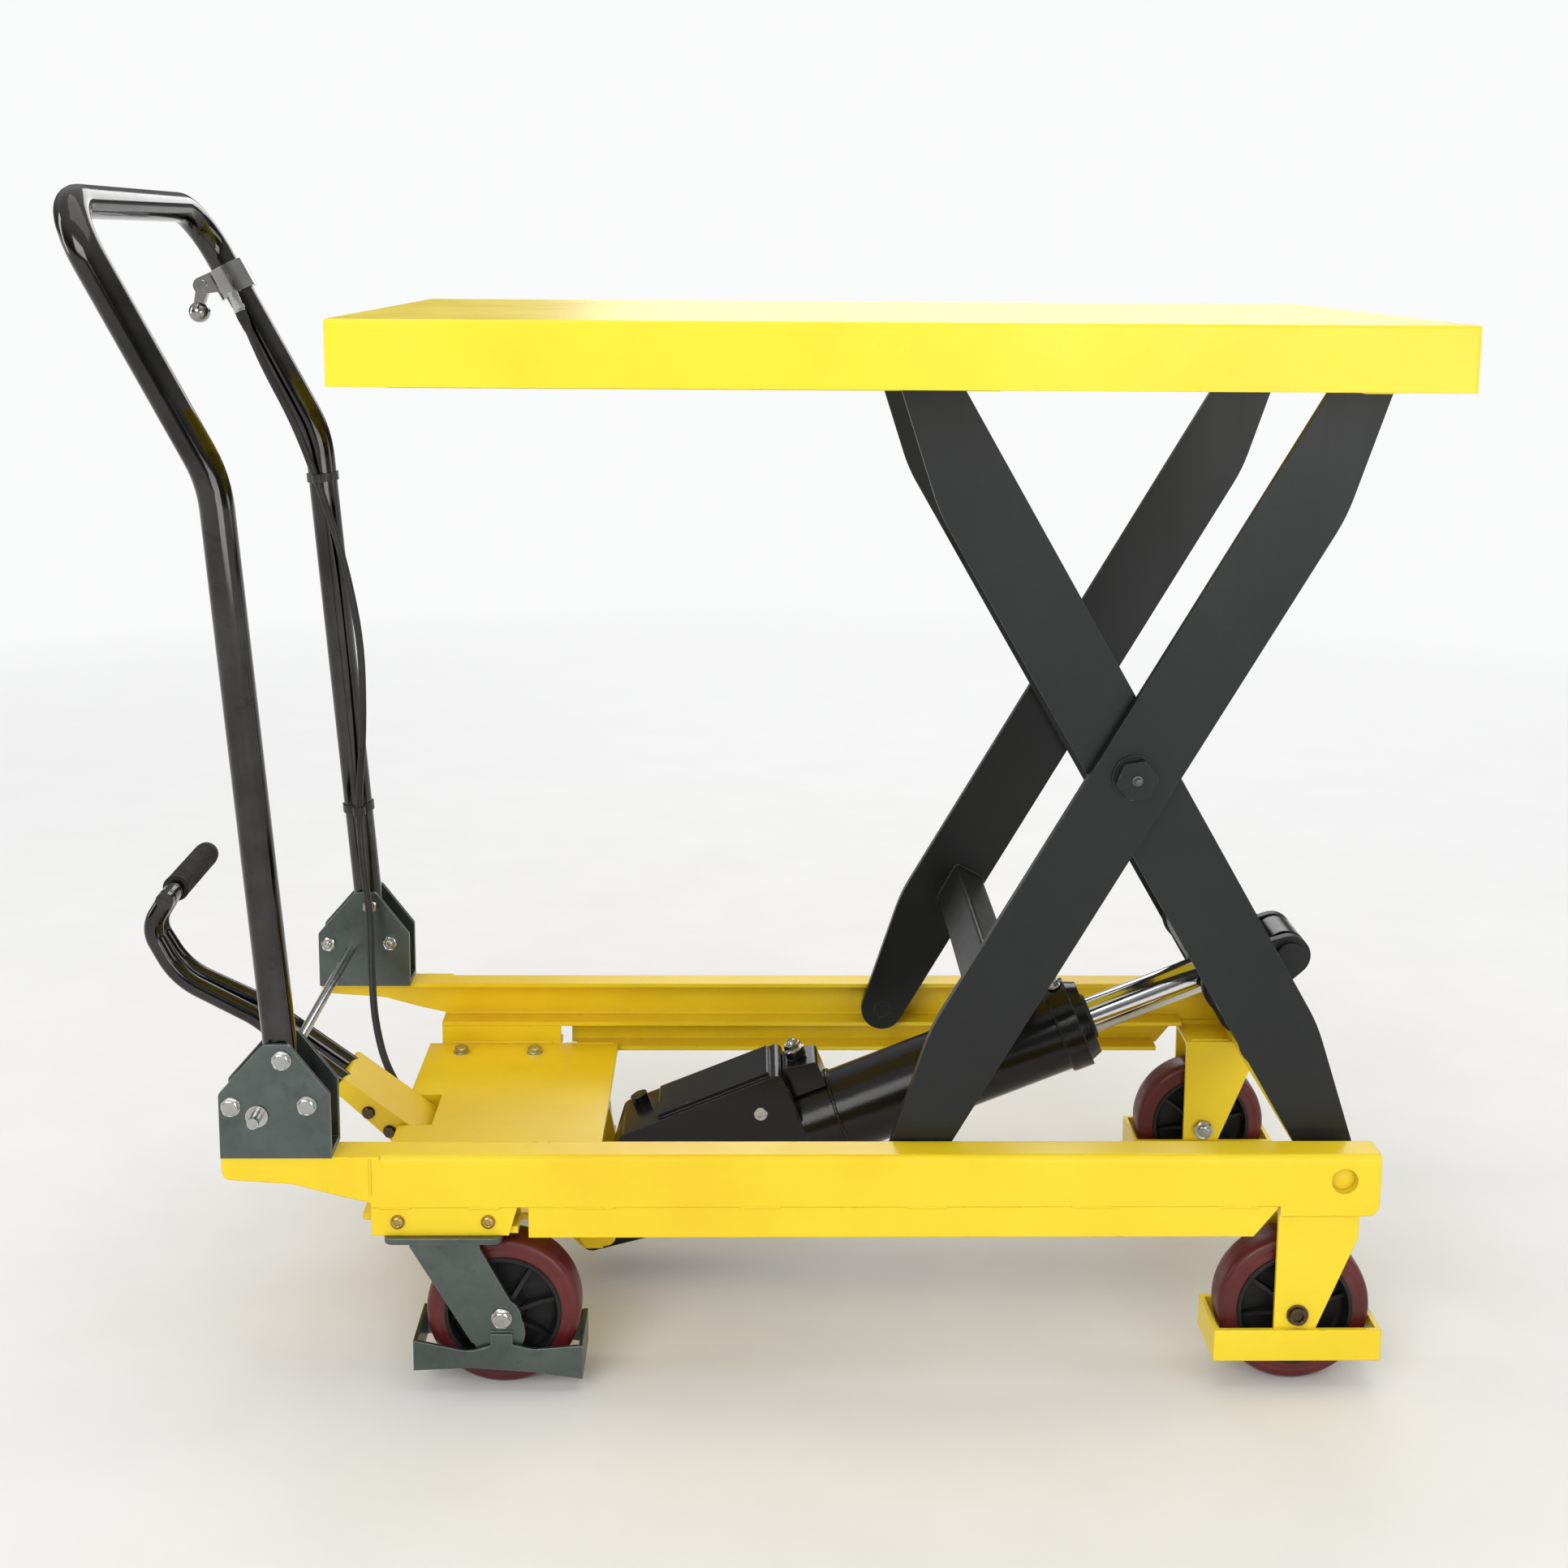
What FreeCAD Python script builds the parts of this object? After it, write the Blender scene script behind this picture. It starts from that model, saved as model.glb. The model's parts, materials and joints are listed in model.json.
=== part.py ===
import FreeCAD, Part
import os, math

# Manual hydraulic scissor lift table, 500 kg class.
# Row frame: +Z up, floor at Z = 0, origin at the bottom centre of the bounding
# box.  -X is the push-handle end, +X the fixed-wheel end, Y is across.
# Lengths are in millimetres.  Most X values below are measured from the middle
# of the table top and moved by DX into the row frame.

os.makedirs("parts", exist_ok=True)
V = FreeCAD.Vector

# ---------------------------------------------------------------- dimensions
DX = 114.97           # table centre to row origin
TABLE_L = 855.0       # table length
TABLE_W = 500.0       # table width
TABLE_TOP = 877.0     # table top height as stored
SKIRT = 50.0          # skirt depth
SHEET = 3.0           # table sheet thickness

ARM_L = 748.0         # pivot to pivot along one arm
THETA = 61.8          # arm angle as stored, degrees
ARM_W = 65.0          # arm bar width
ARM_T = 8.0           # arm bar thickness
ARM_OFF = 12.0        # pivot offset from the bar's middle line at each end
TIP_R = 20.5          # arm end radius
FX, FZ = 372.8, 182.0  # fixed lower pivot
INNER_Y0, INNER_Y1 = 155.0, 163.0
OUTER_Y0, OUTER_Y1 = 165.0, 173.0

RAIL_Y = 204.0        # outer face of the chassis rails
RAIL_TOP = 204.0
RAIL_BOT = 160.0
RAIL_T = 4.0
RAIL_FLANGE = 28.0
RAIL_X0, RAIL_X1 = -418.0, 402.0
STRIP_BOT = 134.0
STRIP_BOLTS = (-396.8, -323.6)

WHEEL_R = 63.5        # 127 mm wheels
CAST_X = -360.0       # caster swivel axis
CAST_Y = 177.0
TRAIL = 46.0
FRONT_X = 340.0
FRONT_Y = 175.0
ROLLER_R = 17.5
PIN_R = 10.0          # scissor pivot shafts
FIT = 0.05            # radial running clearance

TUBE_R = 13.45        # 26.9 mm handle tube
TUBE_T = 2.0
HANDLE_Y = 188.0

CX, CZ = -250.0, 61.0  # hydraulic unit's base pivot
CYL_R = 38.0
ROD_R = 16.0
QU, QV = 116.4, 55.9   # rod pin in the inner frame (along, across)

th = math.radians(THETA)
UPX = FX
UPZ = FZ + ARM_L * math.sin(th)
LOX = FX - ARM_L * math.cos(th)

# ------------------------------------------------------------------ helpers

def solid(s):
    if s.Volume < 0:
        s.reverse()
    return s


def box(x0, x1, y0, y1, z0, z1):
    return Part.makeBox(x1 - x0, y1 - y0, z1 - z0, V(x0 + DX, y0, z0))


def rod(x, z, y0, y1, r):
    """Cylinder along Y."""
    return Part.makeCylinder(r, y1 - y0, V(x + DX, y0, z), V(0, 1, 0))


def vrod(x, y, z0, z1, r):
    return Part.makeCylinder(r, z1 - z0, V(x + DX, y, z0), V(0, 0, 1))


def hexy(x, z, y0, y1, af, turn=0.0):
    """Hexagonal prism along Y, af across flats."""
    r = af / math.sqrt(3.0)
    pts = [V(x + DX + r * math.cos(math.radians(60 * i + turn)), y0,
             z + r * math.sin(math.radians(60 * i + turn))) for i in range(6)]
    return solid(Part.Face(Part.makePolygon(pts + [pts[0]])).extrude(V(0, y1 - y0, 0)))


def hexz(x, y, z0, z1, af, turn=0.0):
    r = af / math.sqrt(3.0)
    pts = [V(x + DX + r * math.cos(math.radians(60 * i + turn)),
             y + r * math.sin(math.radians(60 * i + turn)), z0) for i in range(6)]
    return solid(Part.Face(Part.makePolygon(pts + [pts[0]])).extrude(V(0, 0, z1 - z0)))


def outline(pts):
    """Closed outline of (x, z, radius) corners, arcs at the corners, plane XZ."""
    n = len(pts)
    segs = []
    for i in range(n):
        p = V(pts[i][0], 0, pts[i][1])
        a = V(pts[i - 1][0], 0, pts[i - 1][1])
        b = V(pts[(i + 1) % n][0], 0, pts[(i + 1) % n][1])
        r = pts[i][2] if len(pts[i]) > 2 else 0.0
        if r <= 0:
            segs.append((p, None, p))
            continue
        u = (a - p).normalize()
        w = (b - p).normalize()
        ang = u.getAngle(w)
        t = r / math.tan(ang / 2.0)
        s = p + V(u).multiply(t)
        e = p + V(w).multiply(t)
        bis = (u + w).normalize()
        c = p + V(bis).multiply(r / math.sin(ang / 2.0))
        m = c - V(bis).multiply(r)
        segs.append((s, m, e))
    edges = []
    for i in range(n):
        s, m, e = segs[i]
        if m is not None:
            edges.append(Part.Arc(s, m, e).toShape())
        nx = segs[(i + 1) % n][0]
        if (nx - e).Length > 1e-6:
            edges.append(Part.LineSegment(e, nx).toShape())
    return Part.Wire(edges)


def plate(pts, y0, y1):
    """XZ outline (from the table centre) as a plate between two Y values."""
    w = outline([(p[0] + DX, p[1]) + tuple(p[2:]) for p in pts])
    f = Part.Face(w)
    f.translate(V(0, y0, 0))
    return solid(f.extrude(V(0, y1 - y0, 0)))


def disc(x, z, r, y0, y1):
    return rod(x, z, y0, y1, r)


def hull2(x1, z1, r1, x2, z2, r2, y0, y1):
    """Plate whose outline wraps two circles."""
    d = math.hypot(x2 - x1, z2 - z1)
    a = math.atan2(z2 - z1, x2 - x1)
    b = math.acos((r1 - r2) / d)
    q = []
    for s in (1, -1):
        q.append((x1 + r1 * math.cos(a + s * b), z1 + r1 * math.sin(a + s * b)))
        q.append((x2 + r2 * math.cos(a + s * b), z2 + r2 * math.sin(a + s * b)))
    p = plate([q[0], q[1], q[3], q[2]], y0, y1)
    return fuse([p, disc(x1, z1, r1, y0, y1), disc(x2, z2, r2, y0, y1)])


def fuse(shapes):
    s = shapes[0]
    if len(shapes) > 1:
        s = s.multiFuse(shapes[1:])
    s = s.removeSplitter()
    return s.Solids[0] if len(s.Solids) == 1 else s


def cut(s, tools):
    s = s.cut(tools)
    return s.Solids[0] if len(s.Solids) == 1 else s


def mirror(s):
    return solid(s.mirror(V(0, 0, 0), V(0, 1, 0)))


def group(shapes):
    sol = []
    for s in shapes:
        sol += s.Solids
    return Part.makeCompound(sol)


def route(points, radii):
    """Straight runs joined by tangent arcs through 3-D corner points."""
    pts = [V(*p) for p in points]
    edges = []
    start = pts[0]
    for i in range(1, len(pts) - 1):
        p, a, b = pts[i], pts[i - 1], pts[i + 1]
        u = (a - p).normalize()
        w = (b - p).normalize()
        ang = u.getAngle(w)
        r = radii[i - 1]
        if r is None:
            run = min((a - p).Length, (b - p).Length)
            r = 0.45 * run / math.tan((math.pi - ang) / 2.0)
        t = r / math.tan(ang / 2.0)
        s = p + V(u).multiply(t)
        e = p + V(w).multiply(t)
        bis = (u + w).normalize()
        c = p + V(bis).multiply(r / math.sin(ang / 2.0))
        m = c - V(bis).multiply(r)
        if (s - start).Length > 1e-4:
            edges.append(Part.LineSegment(start, s).toShape())
        edges.append(Part.Arc(s, m, e).toShape())
        start = e
    edges.append(Part.LineSegment(start, pts[-1]).toShape())
    return Part.Wire(edges)


def sweep(wire, r):
    e = wire.OrderedEdges[0] if hasattr(wire, "OrderedEdges") else wire.Edges[0]
    p0 = e.valueAt(e.FirstParameter)
    t0 = e.tangentAt(e.FirstParameter)
    prof = Part.Wire([Part.Circle(p0, t0, r).toShape()])
    s = wire.makePipeShell([prof], True, False)
    if s.Volume < 0:
        s.reverse()
    return s.Solids[0]


NODES = {}


def put(name, shape):
    NODES[name] = shape


# ------------------------------------------------------------- arm geometry

def tangent(cx, cz, r, px, pz, side):
    d = math.hypot(px - cx, pz - cz)
    a = math.atan2(pz - cz, px - cx)
    b = math.acos(r / d)
    return (cx + r * math.cos(a + side * b), cz + r * math.sin(a + side * b))


def arm_flat():
    """Arm bar in its own plane: u along, v across, drawn in XZ."""
    hw = ARM_W / 2.0
    k = 2 * ARM_OFF / ARM_L
    p1 = (112.0, ARM_OFF + hw - k * 112.0)
    p2 = (ARM_L - 112.0, -p1[1])
    ta1 = tangent(0, 0, TIP_R, p2[0], p2[1], -1)
    ta2 = tangent(0, 0, TIP_R, p1[0], p1[1], 1)
    tb1 = tangent(ARM_L, 0, TIP_R, p1[0], p1[1], -1)
    tb2 = tangent(ARM_L, 0, TIP_R, p2[0], p2[1], 1)
    P = lambda q: V(q[0], 0, q[1])

    def corner(p, a, b, r):
        p, a, b = P(p), P(a), P(b)
        u = (a - p).normalize()
        w = (b - p).normalize()
        ang = u.getAngle(w)
        t = r / math.tan(ang / 2.0)
        s = p + V(u).multiply(t)
        e = p + V(w).multiply(t)
        bis = (u + w).normalize()
        m = p + V(bis).multiply(r / math.sin(ang / 2.0) - r)
        return s, m, e
    s1, m1, e1 = corner(p1, ta2, tb1, 150.0)
    s2, m2, e2 = corner(p2, tb2, ta1, 150.0)
    edges = [
        Part.Arc(P(ta1), V(-TIP_R, 0, 0), P(ta2)).toShape(),
        Part.LineSegment(P(ta2), s1).toShape(),
        Part.Arc(s1, m1, e1).toShape(),
        Part.LineSegment(e1, P(tb1)).toShape(),
        Part.Arc(P(tb1), V(ARM_L + TIP_R, 0, 0), P(tb2)).toShape(),
        Part.LineSegment(P(tb2), s2).toShape(),
        Part.Arc(s2, m2, e2).toShape(),
        Part.LineSegment(e2, P(ta1)).toShape(),
    ]
    return Part.Face(Part.Wire(edges))


def outer_xy(u, v):
    return (LOX + u * math.cos(th) - v * math.sin(th), FZ + u * math.sin(th) + v * math.cos(th))


def inner_xy(u, v):
    return (FX - u * math.cos(th) + v * math.sin(th), FZ + u * math.sin(th) + v * math.cos(th))


def outer_arm(y0, y1):
    f = arm_flat()
    s = solid(f.extrude(V(0, y1 - y0, 0)))
    s.Placement = FreeCAD.Placement(V(LOX + DX, y0, FZ), FreeCAD.Rotation(V(0, 1, 0), -THETA))
    return s


def inner_arm(y0, y1):
    s = solid(arm_flat().extrude(V(0, y1 - y0, 0)))
    # mirror u, then turn
    s = solid(s.mirror(V(0, 0, 0), V(1, 0, 0)))
    s.Placement = FreeCAD.Placement(V(FX + DX, y0, FZ), FreeCAD.Rotation(V(0, 1, 0), THETA)).multiply(s.Placement)
    return s


# ------------------------------------------------------------------- chassis

def rail():
    """Near-side rail (-Y): C channel open to the middle, tall front web, rear lug."""
    yo, yi = -RAIL_Y, -RAIL_Y + RAIL_FLANGE
    def channel(x0, x1, corners):
        w = outline(corners)
        m = FreeCAD.Placement(V(x0 + DX, 0, 0), FreeCAD.Rotation(V(0, 0, 1), 90))
        f = Part.Face(w)
        f.Placement = m
        return solid(f.extrude(V(x1 - x0, 0, 0)))
    t = RAIL_T
    full = channel(RAIL_X0, 321.0, [
        (yo, RAIL_TOP, 5.5), (yi, RAIL_TOP), (yi, RAIL_TOP - t), (yo + t, RAIL_TOP - t, 1.5),
        (yo + t, RAIL_BOT + t, 1.5), (yi, RAIL_BOT + t), (yi, RAIL_BOT), (yo, RAIL_BOT, 1.5)])
    front = channel(321.0, RAIL_X1, [
        (yo, RAIL_TOP, 5.5), (yi, RAIL_TOP), (yi, RAIL_TOP - t), (yo + t, RAIL_TOP - t, 1.5),
        (yo + t, RAIL_BOT), (yo, RAIL_BOT)])
    body = fuse([full, front])
    web = plate([(321, 170), (321, 152), (RAIL_X1, 152, 10), (RAIL_X1, 196), (390, 196)], yo, yo + RAIL_T)
    lug_web = plate([(-537, 203, 6), (-410, 203), (-410, 165), (-418, 165), (-440, 170, 25), (-480, 181, 40), (-537, 185, 8)], yo, yo + RAIL_T)
    lug_top = box(-537, -410, yo, yi, RAIL_TOP - RAIL_T, RAIL_TOP)
    lug_end = plate([(-537, 197), (-533, 202), (-533, 186), (-537, 191)], yo, yi)
    s = fuse([body, web, lug_web, lug_top, lug_end])
    s = cut(s, [rod(FX, FZ, yo - 1, yo + 5, 10.7)])
    boss = rod(FX, FZ, yo + RAIL_T, yo + 25, 17.5)
    s = fuse([s, boss])
    return cut(s, [rod(FX, FZ, yo + RAIL_T, yo + 30, PIN_R)])


r_rail = rail()
put("right_rail", r_rail)
put("left_rail", mirror(r_rail))

strip = plate([(-291, 160), (-291, STRIP_BOT), (300, STRIP_BOT), (319, 158), (319, 160)], -RAIL_Y + 1, -RAIL_Y + 5)
ledge = box(-285, 296, -RAIL_Y + 5, -RAIL_Y + 27, STRIP_BOT, STRIP_BOT + 4)
strip = fuse([strip, ledge])
rear_strip = plate([(-418, 160), (-418, 136), (-307, 136), (-300, 160)], -RAIL_Y + 1, -RAIL_Y + 5)
rear_strip = cut(rear_strip, [rod(bx, 148, -210, -190, 3.5) for bx in STRIP_BOLTS])
put("lower_strips", group([strip, mirror(strip), rear_strip, mirror(rear_strip)]))

# rear cross plate with two upturned flanges under the rails
cp = fuse([box(-430, -243, -176, 176, 136, 142), box(-418, -300, -199, 199, 136, 142),
           box(-418, -300, -179, -176, 142, 160),
           box(-418, -300, 176, 179, 142, 160)])
bolt_xy = [(CAST_X + sx * 36.0, s * (CAST_Y + dy)) for s in (-1, 1) for sx in (-1, 1) for dy in (-23.0, 11.0)]
cp = cut(cp, [vrod(x, y, 130, 150, 4.2) for x, y in bolt_xy] + [box(-440, -400, -10.5, 54.5, 130, 150)])
put("rear_cross_plate", cp)

# front cross plate
put("front_cross_plate", box(366, 400, -196, 196, 154, 160))

# fixed-wheel forks
def fork():
    yo = -200.0
    outer = plate([(321, 158), (321, 45), (353, 45), (387, 131), (387, 158)], yo, yo + 4)
    inner = plate([(321, 154), (321, 45), (353, 45), (387, 131), (387, 154)], -154, -150)
    top = box(321, 387, yo, -150, 150, 154)
    s = fuse([outer, inner, top])
    return cut(s, [rod(FRONT_X, WHEEL_R, -210, -140, 6.1)])


r_fork = fork()

def guard(x0, x1, y0, y1, z0, z1, t):
    o = box(x0, x1, y0, y1, z0, z1)
    i = box(x0 + t, x1 - t, y0 + t, y1 - t, z0 - 1, z1 + 1)
    return o.cut(i)


g = guard(271, 409, -204, -146, 25, 52, 4.0)
r_fork = fuse([r_fork, g])
put("front_forks", group([r_fork, mirror(r_fork)]))

# fixed lower pivot

# ------------------------------------------------------------------- wheels

def wheel(x, y, w, hub_half, bore):
    """Tyre and hub of one wheel, turned about Y."""
    def rev(pts):
        f = Part.Face(Part.makePolygon([V(p[0], p[1], 0) for p in pts] + [V(pts[0][0], pts[0][1], 0)]))
        s = f.revolve(V(0, 0, 0), V(0, 1, 0), 360)
        s.translate(V(x + DX, y, WHEEL_R))
        return s.Solids[0] if s.Solids else Part.Solid(s)
    h = w / 2.0
    tyre = rev([(48.0, -h + 2), (58.5, -h + 2), (61.8, -h + 3.2), (WHEEL_R, -h + 7.5), (WHEEL_R, h - 7.5), (61.8, h - 3.2), (58.5, h - 2), (48.0, h - 2)])
    hub = rev([(bore, -hub_half), (17, -hub_half), (19, -hub_half + 3), (20, -h + 12), (40, -h + 9), (43, -h), (48.0, -h),
               (48.0, h), (43, h), (40, h - 9), (20, h - 12), (19, hub_half - 3), (17, hub_half), (bore, hub_half)])
    return tyre, hub


for side, name in ((-1, "right"), (1, "left")):
    t, hb = wheel(FRONT_X, side * FRONT_Y, 36.0, 20.5, 6.0 + FIT)
    put("front_tyre_" + name, t)
    put("front_hub_" + name, hb)
    t, hb = wheel(CAST_X + TRAIL, side * CAST_Y, 36.0, 20.5, 6.0 + FIT)
    put("caster_tyre_" + name, t)
    put("caster_hub_" + name, hb)

# front axle bolts: pin, head and nut recessed in the guard's hole line
ax = fuse([rod(FRONT_X, WHEEL_R, -204.5, -145.5, 6.0), hexy(FRONT_X, WHEEL_R, -206, -200, 15, 15), hexy(FRONT_X, WHEEL_R, -150, -142, 18)])


# ------------------------------------------------------------------- casters

def guard_band(x, y, wx, wz):
    # toe guard band, dipping in the middle
    z0, z1 = 14.0, 40.0
    gx0, gx1 = x - 26, x + 112
    prof = [(gx0, z1 + 6), (wx - 26, z1 - 4, 30), (wx, z1 + 4, 30), (wx + 26, z1 - 2, 30), (gx1, z1 + 1), (gx1, z0 - 2), (wx + 26, z0 + 4, 40), (wx - 26, z0 + 8, 40), (gx0, z0 + 6)]
    o = plate(prof, y - 29.5, y + 29.5)
    i = box(gx0 + 3, gx1 - 3, y - 26.5, y + 26.5, z0 - 20, z1 + 20)
    band = o.cut(i)
    lugs = []
    for s in (-1, 1):
        ya, yb = (y - 29.5, y - 25.5) if s < 0 else (y + 25.5, y + 29.5)
        lugs.append(plate([(wx - 9, 36), (wx + 9, 36), (wx + 9, wz - 12), (wx - 9, wz - 12)], ya, yb))
    return fuse([band] + lugs)


def caster():
    x, y = CAST_X, -CAST_Y
    top = plate([(x - 48, 131), (x + 48, 131), (x + 48, 136), (x - 48, 136)], y - 32, y + 32)
    vert = [e for e in top.Edges if e.BoundBox.ZLength > 4.9 and e.BoundBox.XLength < 0.1]
    top = top.makeFillet(8.0, vert)
    top = cut(top, [vrod(x + sx * 36, y + dy, 130, 137, 4.0) for sx in (-1, 1) for dy in (-11, 23)])
    king = fuse([vrod(x, y, 119, 131, 7.0), vrod(x, y, 119, 125.6, 10.5)])
    top = fuse([top, king])
    # fork
    wx, wz = x + TRAIL, WHEEL_R
    fp = box(x - 28, x + 29, y - 25.5, y + 25.5, 126, 130.5)
    fp = fp.makeFillet(7.0, [e for e in fp.Edges if e.BoundBox.ZLength > 4 and e.BoundBox.XMax < x + DX])
    leg0 = plate([(x - 28, 130), (x + 29, 130), (x + 29, 124), (wx + 18.5, wz - 6), (wx - 24.5, wz - 22), (x - 28, 126)], y - 25.5, y - 21.5)
    leg0 = fuse([leg0, disc(wx - 3, wz - 13, 22.0, y - 25.5, y - 21.5), disc(wx, wz, 16.0, y - 25.5, y - 21.5)])
    leg1 = leg0.copy()
    leg1.translate(V(0, 47.0, 0))
    fork_ = fuse([fp, leg0, leg1, guard_band(x, y, wx, wz)])
    fork_ = cut(fork_, [vrod(x, y, 120, 131, 7.0 + FIT), rod(wx, wz, y - 40, y + 40, 6.0)])
    axle = fuse([rod(wx, wz, y - 28, y + 28, 6.0), hexy(wx, wz, y - 31, y - 25.5, 14), hexy(wx, wz, y + 25.5, y + 31, 14)])
    return top, fork_, axle


top, cf, cax = caster()
for name, f in (("right", lambda s: s), ("left", mirror)):
    put("caster_fork_" + name, f(cf))
    put("caster_axle_" + name, f(cax))
put("caster_plates", group([top, mirror(top)]))

side = [fuse([rod(bx, 148, -203, -197, 3.5), rod(bx, 148, -206.5, -203, 5.8)]) for bx in STRIP_BOLTS]
put("chassis_bolts", group([fuse([vrod(x, y, 131, 142, 4.0), hexz(x, y, 142, 147.5, 13)]) for x, y in bolt_xy] + [ax, mirror(ax)] + side + [mirror(b) for b in side]))

# -------------------------------------------------------------- inner frame
bush_f = cut(rod(FX, FZ, -170, -150, 16.0), [rod(FX, FZ, -180, -140, PIN_R + FIT)])
cxm, czm = inner_xy(ARM_L / 2.0, 0)
CEN_R = 12.0
bush_c = cut(rod(cxm, czm, -163.4, -154, 18.0), [rod(cxm, czm, -170, -140, CEN_R + FIT)])
tux, tuz = inner_xy(ARM_L, 0)


def inner(side):
    a = inner_arm(-INNER_Y1, -INNER_Y0)
    a = cut(a, [rod(FX, FZ, -180, -140, 16.0), rod(cxm, czm, -180, -140, 18.0), rod(tux, tuz, -180, -140, 8.0)])
    return a if side < 0 else mirror(a)


put("inner_arm_right", inner(-1))
put("inner_arm_left", inner(1))
put("inner_arm_bushes", group([bush_f, mirror(bush_f), bush_c, mirror(bush_c)]))
upin = fuse([rod(tux, tuz, -165, -126.0, 8.0), rod(tux, tuz, -155, -153.5, 13.0)])
upin = cut(upin, [box(tux - 30, tux + 30, -170, -163, tuz - 30, tuz + 30)])
put("upper_roller_pins", group([upin, mirror(upin)]))

qx, qz = inner_xy(QU, QV)
TU, TV = 115.0, 2.0
tx, tz = inner_xy(TU, TV)
EAR0, EAR1 = 26.0, 34.0
ears = hull2(qx, qz, 18.5, tx, tz, 30.0, -EAR1, -EAR0)
stub = cut(rod(tx, tz, -INNER_Y0, -EAR0, 25.0), [rod(tx, tz, -INNER_Y0 - 1, -EAR0 + 1, 20.0)])
ear_cut = rod(tx, tz, -EAR1 - 1, -EAR0 + 1, 20.0)
pinstub = rod(qx, qz, -40.0, -EAR0, 10.0)
half = fuse([cut(ears, [ear_cut]), stub])
half = cut(half, [rod(qx, qz, -60, -10, 10.0)])
pin = fuse([rod(qx, qz, -38.0, -22.0, 10.0), rod(qx, qz, -39.0, -34.0, 13.0)])
put("rod_ear_pins", group([pin, mirror(pin)]))

# upper tie tube of the inner frame
ux, uz = inner_xy(540.0, -14.0)
tie = cut(rod(ux, uz, -INNER_Y0, INNER_Y0, 17.0), [rod(ux, uz, -INNER_Y0 - 1, INNER_Y0 + 1, 14.0)])
put("inner_cross_tubes", group([half, mirror(half), tie]))

# -------------------------------------------------------------- outer frame
bush_t = cut(rod(UPX, UPZ, -174.5, -162, 16.0), [rod(UPX, UPZ, -180, -140, PIN_R + FIT)])


def outer(side):
    a = outer_arm(-OUTER_Y1, -OUTER_Y0)
    a = cut(a, [rod(LOX, FZ, -180, -140, 8.0), rod(cxm, czm, -180, -140, CEN_R), rod(UPX, UPZ, -180, -140, 16.0)])
    return a if side < 0 else mirror(a)


put("outer_arm_right", outer(-1))
put("outer_arm_left", outer(1))
put("table_pivot_bushes", group([bush_t, mirror(bush_t)]))
lpin = fuse([rod(LOX, FZ, -199.0, -165.0, 8.0), rod(LOX, FZ, -175.2, -173.0, 13.0)])
put("lower_roller_pins", group([lpin, mirror(lpin)]))
cb = fuse([rod(cxm, czm, -180, -148, CEN_R), hexy(cxm, czm, -183, -173, 30, 10), rod(cxm, czm, -174.5, -173, 19), hexy(cxm, czm, -153.2, -145, 30)])
put("centre_pivot_bolts", group([cb, mirror(cb)]))

# cross beam between the outer arms, a closed box section set in the arms' plane
def outer_box(u0, u1, v0, v1, y0, y1):
    c = [outer_xy(u0, v0), outer_xy(u1, v0), outer_xy(u1, v1), outer_xy(u0, v1)]
    return plate([(c[0][0], c[0][1], 4), (c[1][0], c[1][1], 4), (c[2][0], c[2][1], 4), (c[3][0], c[3][1], 4)], y0, y1)


beam = outer_box(126, 166, -22, 8, -OUTER_Y0, OUTER_Y0)
beam_in = outer_box(129, 163, -19, 5, -OUTER_Y0 - 1, OUTER_Y0 + 1)
put("outer_cross_beam", cut(beam, [beam_in]))

# ------------------------------------------------------------------- rollers

def roller(x, z, y0, y1):
    s = rod(x, z, y0, y1, ROLLER_R)
    s = s.makeChamfer(1.2, [e for e in s.Edges if e.Curve.TypeId == "Part::GeomCircle"])
    return cut(s, [rod(x, z, y0 - 1, y1 + 1, 8.0 + FIT)])


lr = roller(LOX, FZ, -198.0, -177.0)
put("lower_roller_right", lr)
put("lower_roller_left", mirror(lr))
ur = roller(tux, tuz, -152.5, -127.0)
put("upper_roller_right", ur)
put("upper_roller_left", mirror(ur))

# --------------------------------------------------------------------- table
pan = Part.makeBox(TABLE_L, TABLE_W, SKIRT, V(-TABLE_L / 2 + DX, -TABLE_W / 2, TABLE_TOP - SKIRT))
vert = [e for e in pan.Edges if e.BoundBox.ZLength > SKIRT - 1]
pan = pan.makeFillet(4.0, vert)
topl = [e for e in pan.Edges if e.BoundBox.ZMin > TABLE_TOP - 0.01]
pan = pan.makeFillet(2.5, topl)
pocket = Part.makeBox(TABLE_L - 2 * SHEET, TABLE_W - 2 * SHEET, SKIRT, V(-TABLE_L / 2 + SHEET + DX, -TABLE_W / 2 + SHEET, TABLE_TOP - SKIRT - SHEET))
pan = cut(pan, [pocket])
put("table_top", pan)

tr_top = tuz + ROLLER_R + 0.5
tr_bot = tuz - ROLLER_R - 0.5
TRK0, TRK1 = -400.0, 84.0
trk = fuse([box(TRK0, TRK1, -125, -121, tr_bot - 4, tr_top + 4),
            box(TRK0, TRK1, -151, -121, tr_top, tr_top + 4),
            box(TRK0, TRK1, -151, -121, tr_bot - 4, tr_bot)])
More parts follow.
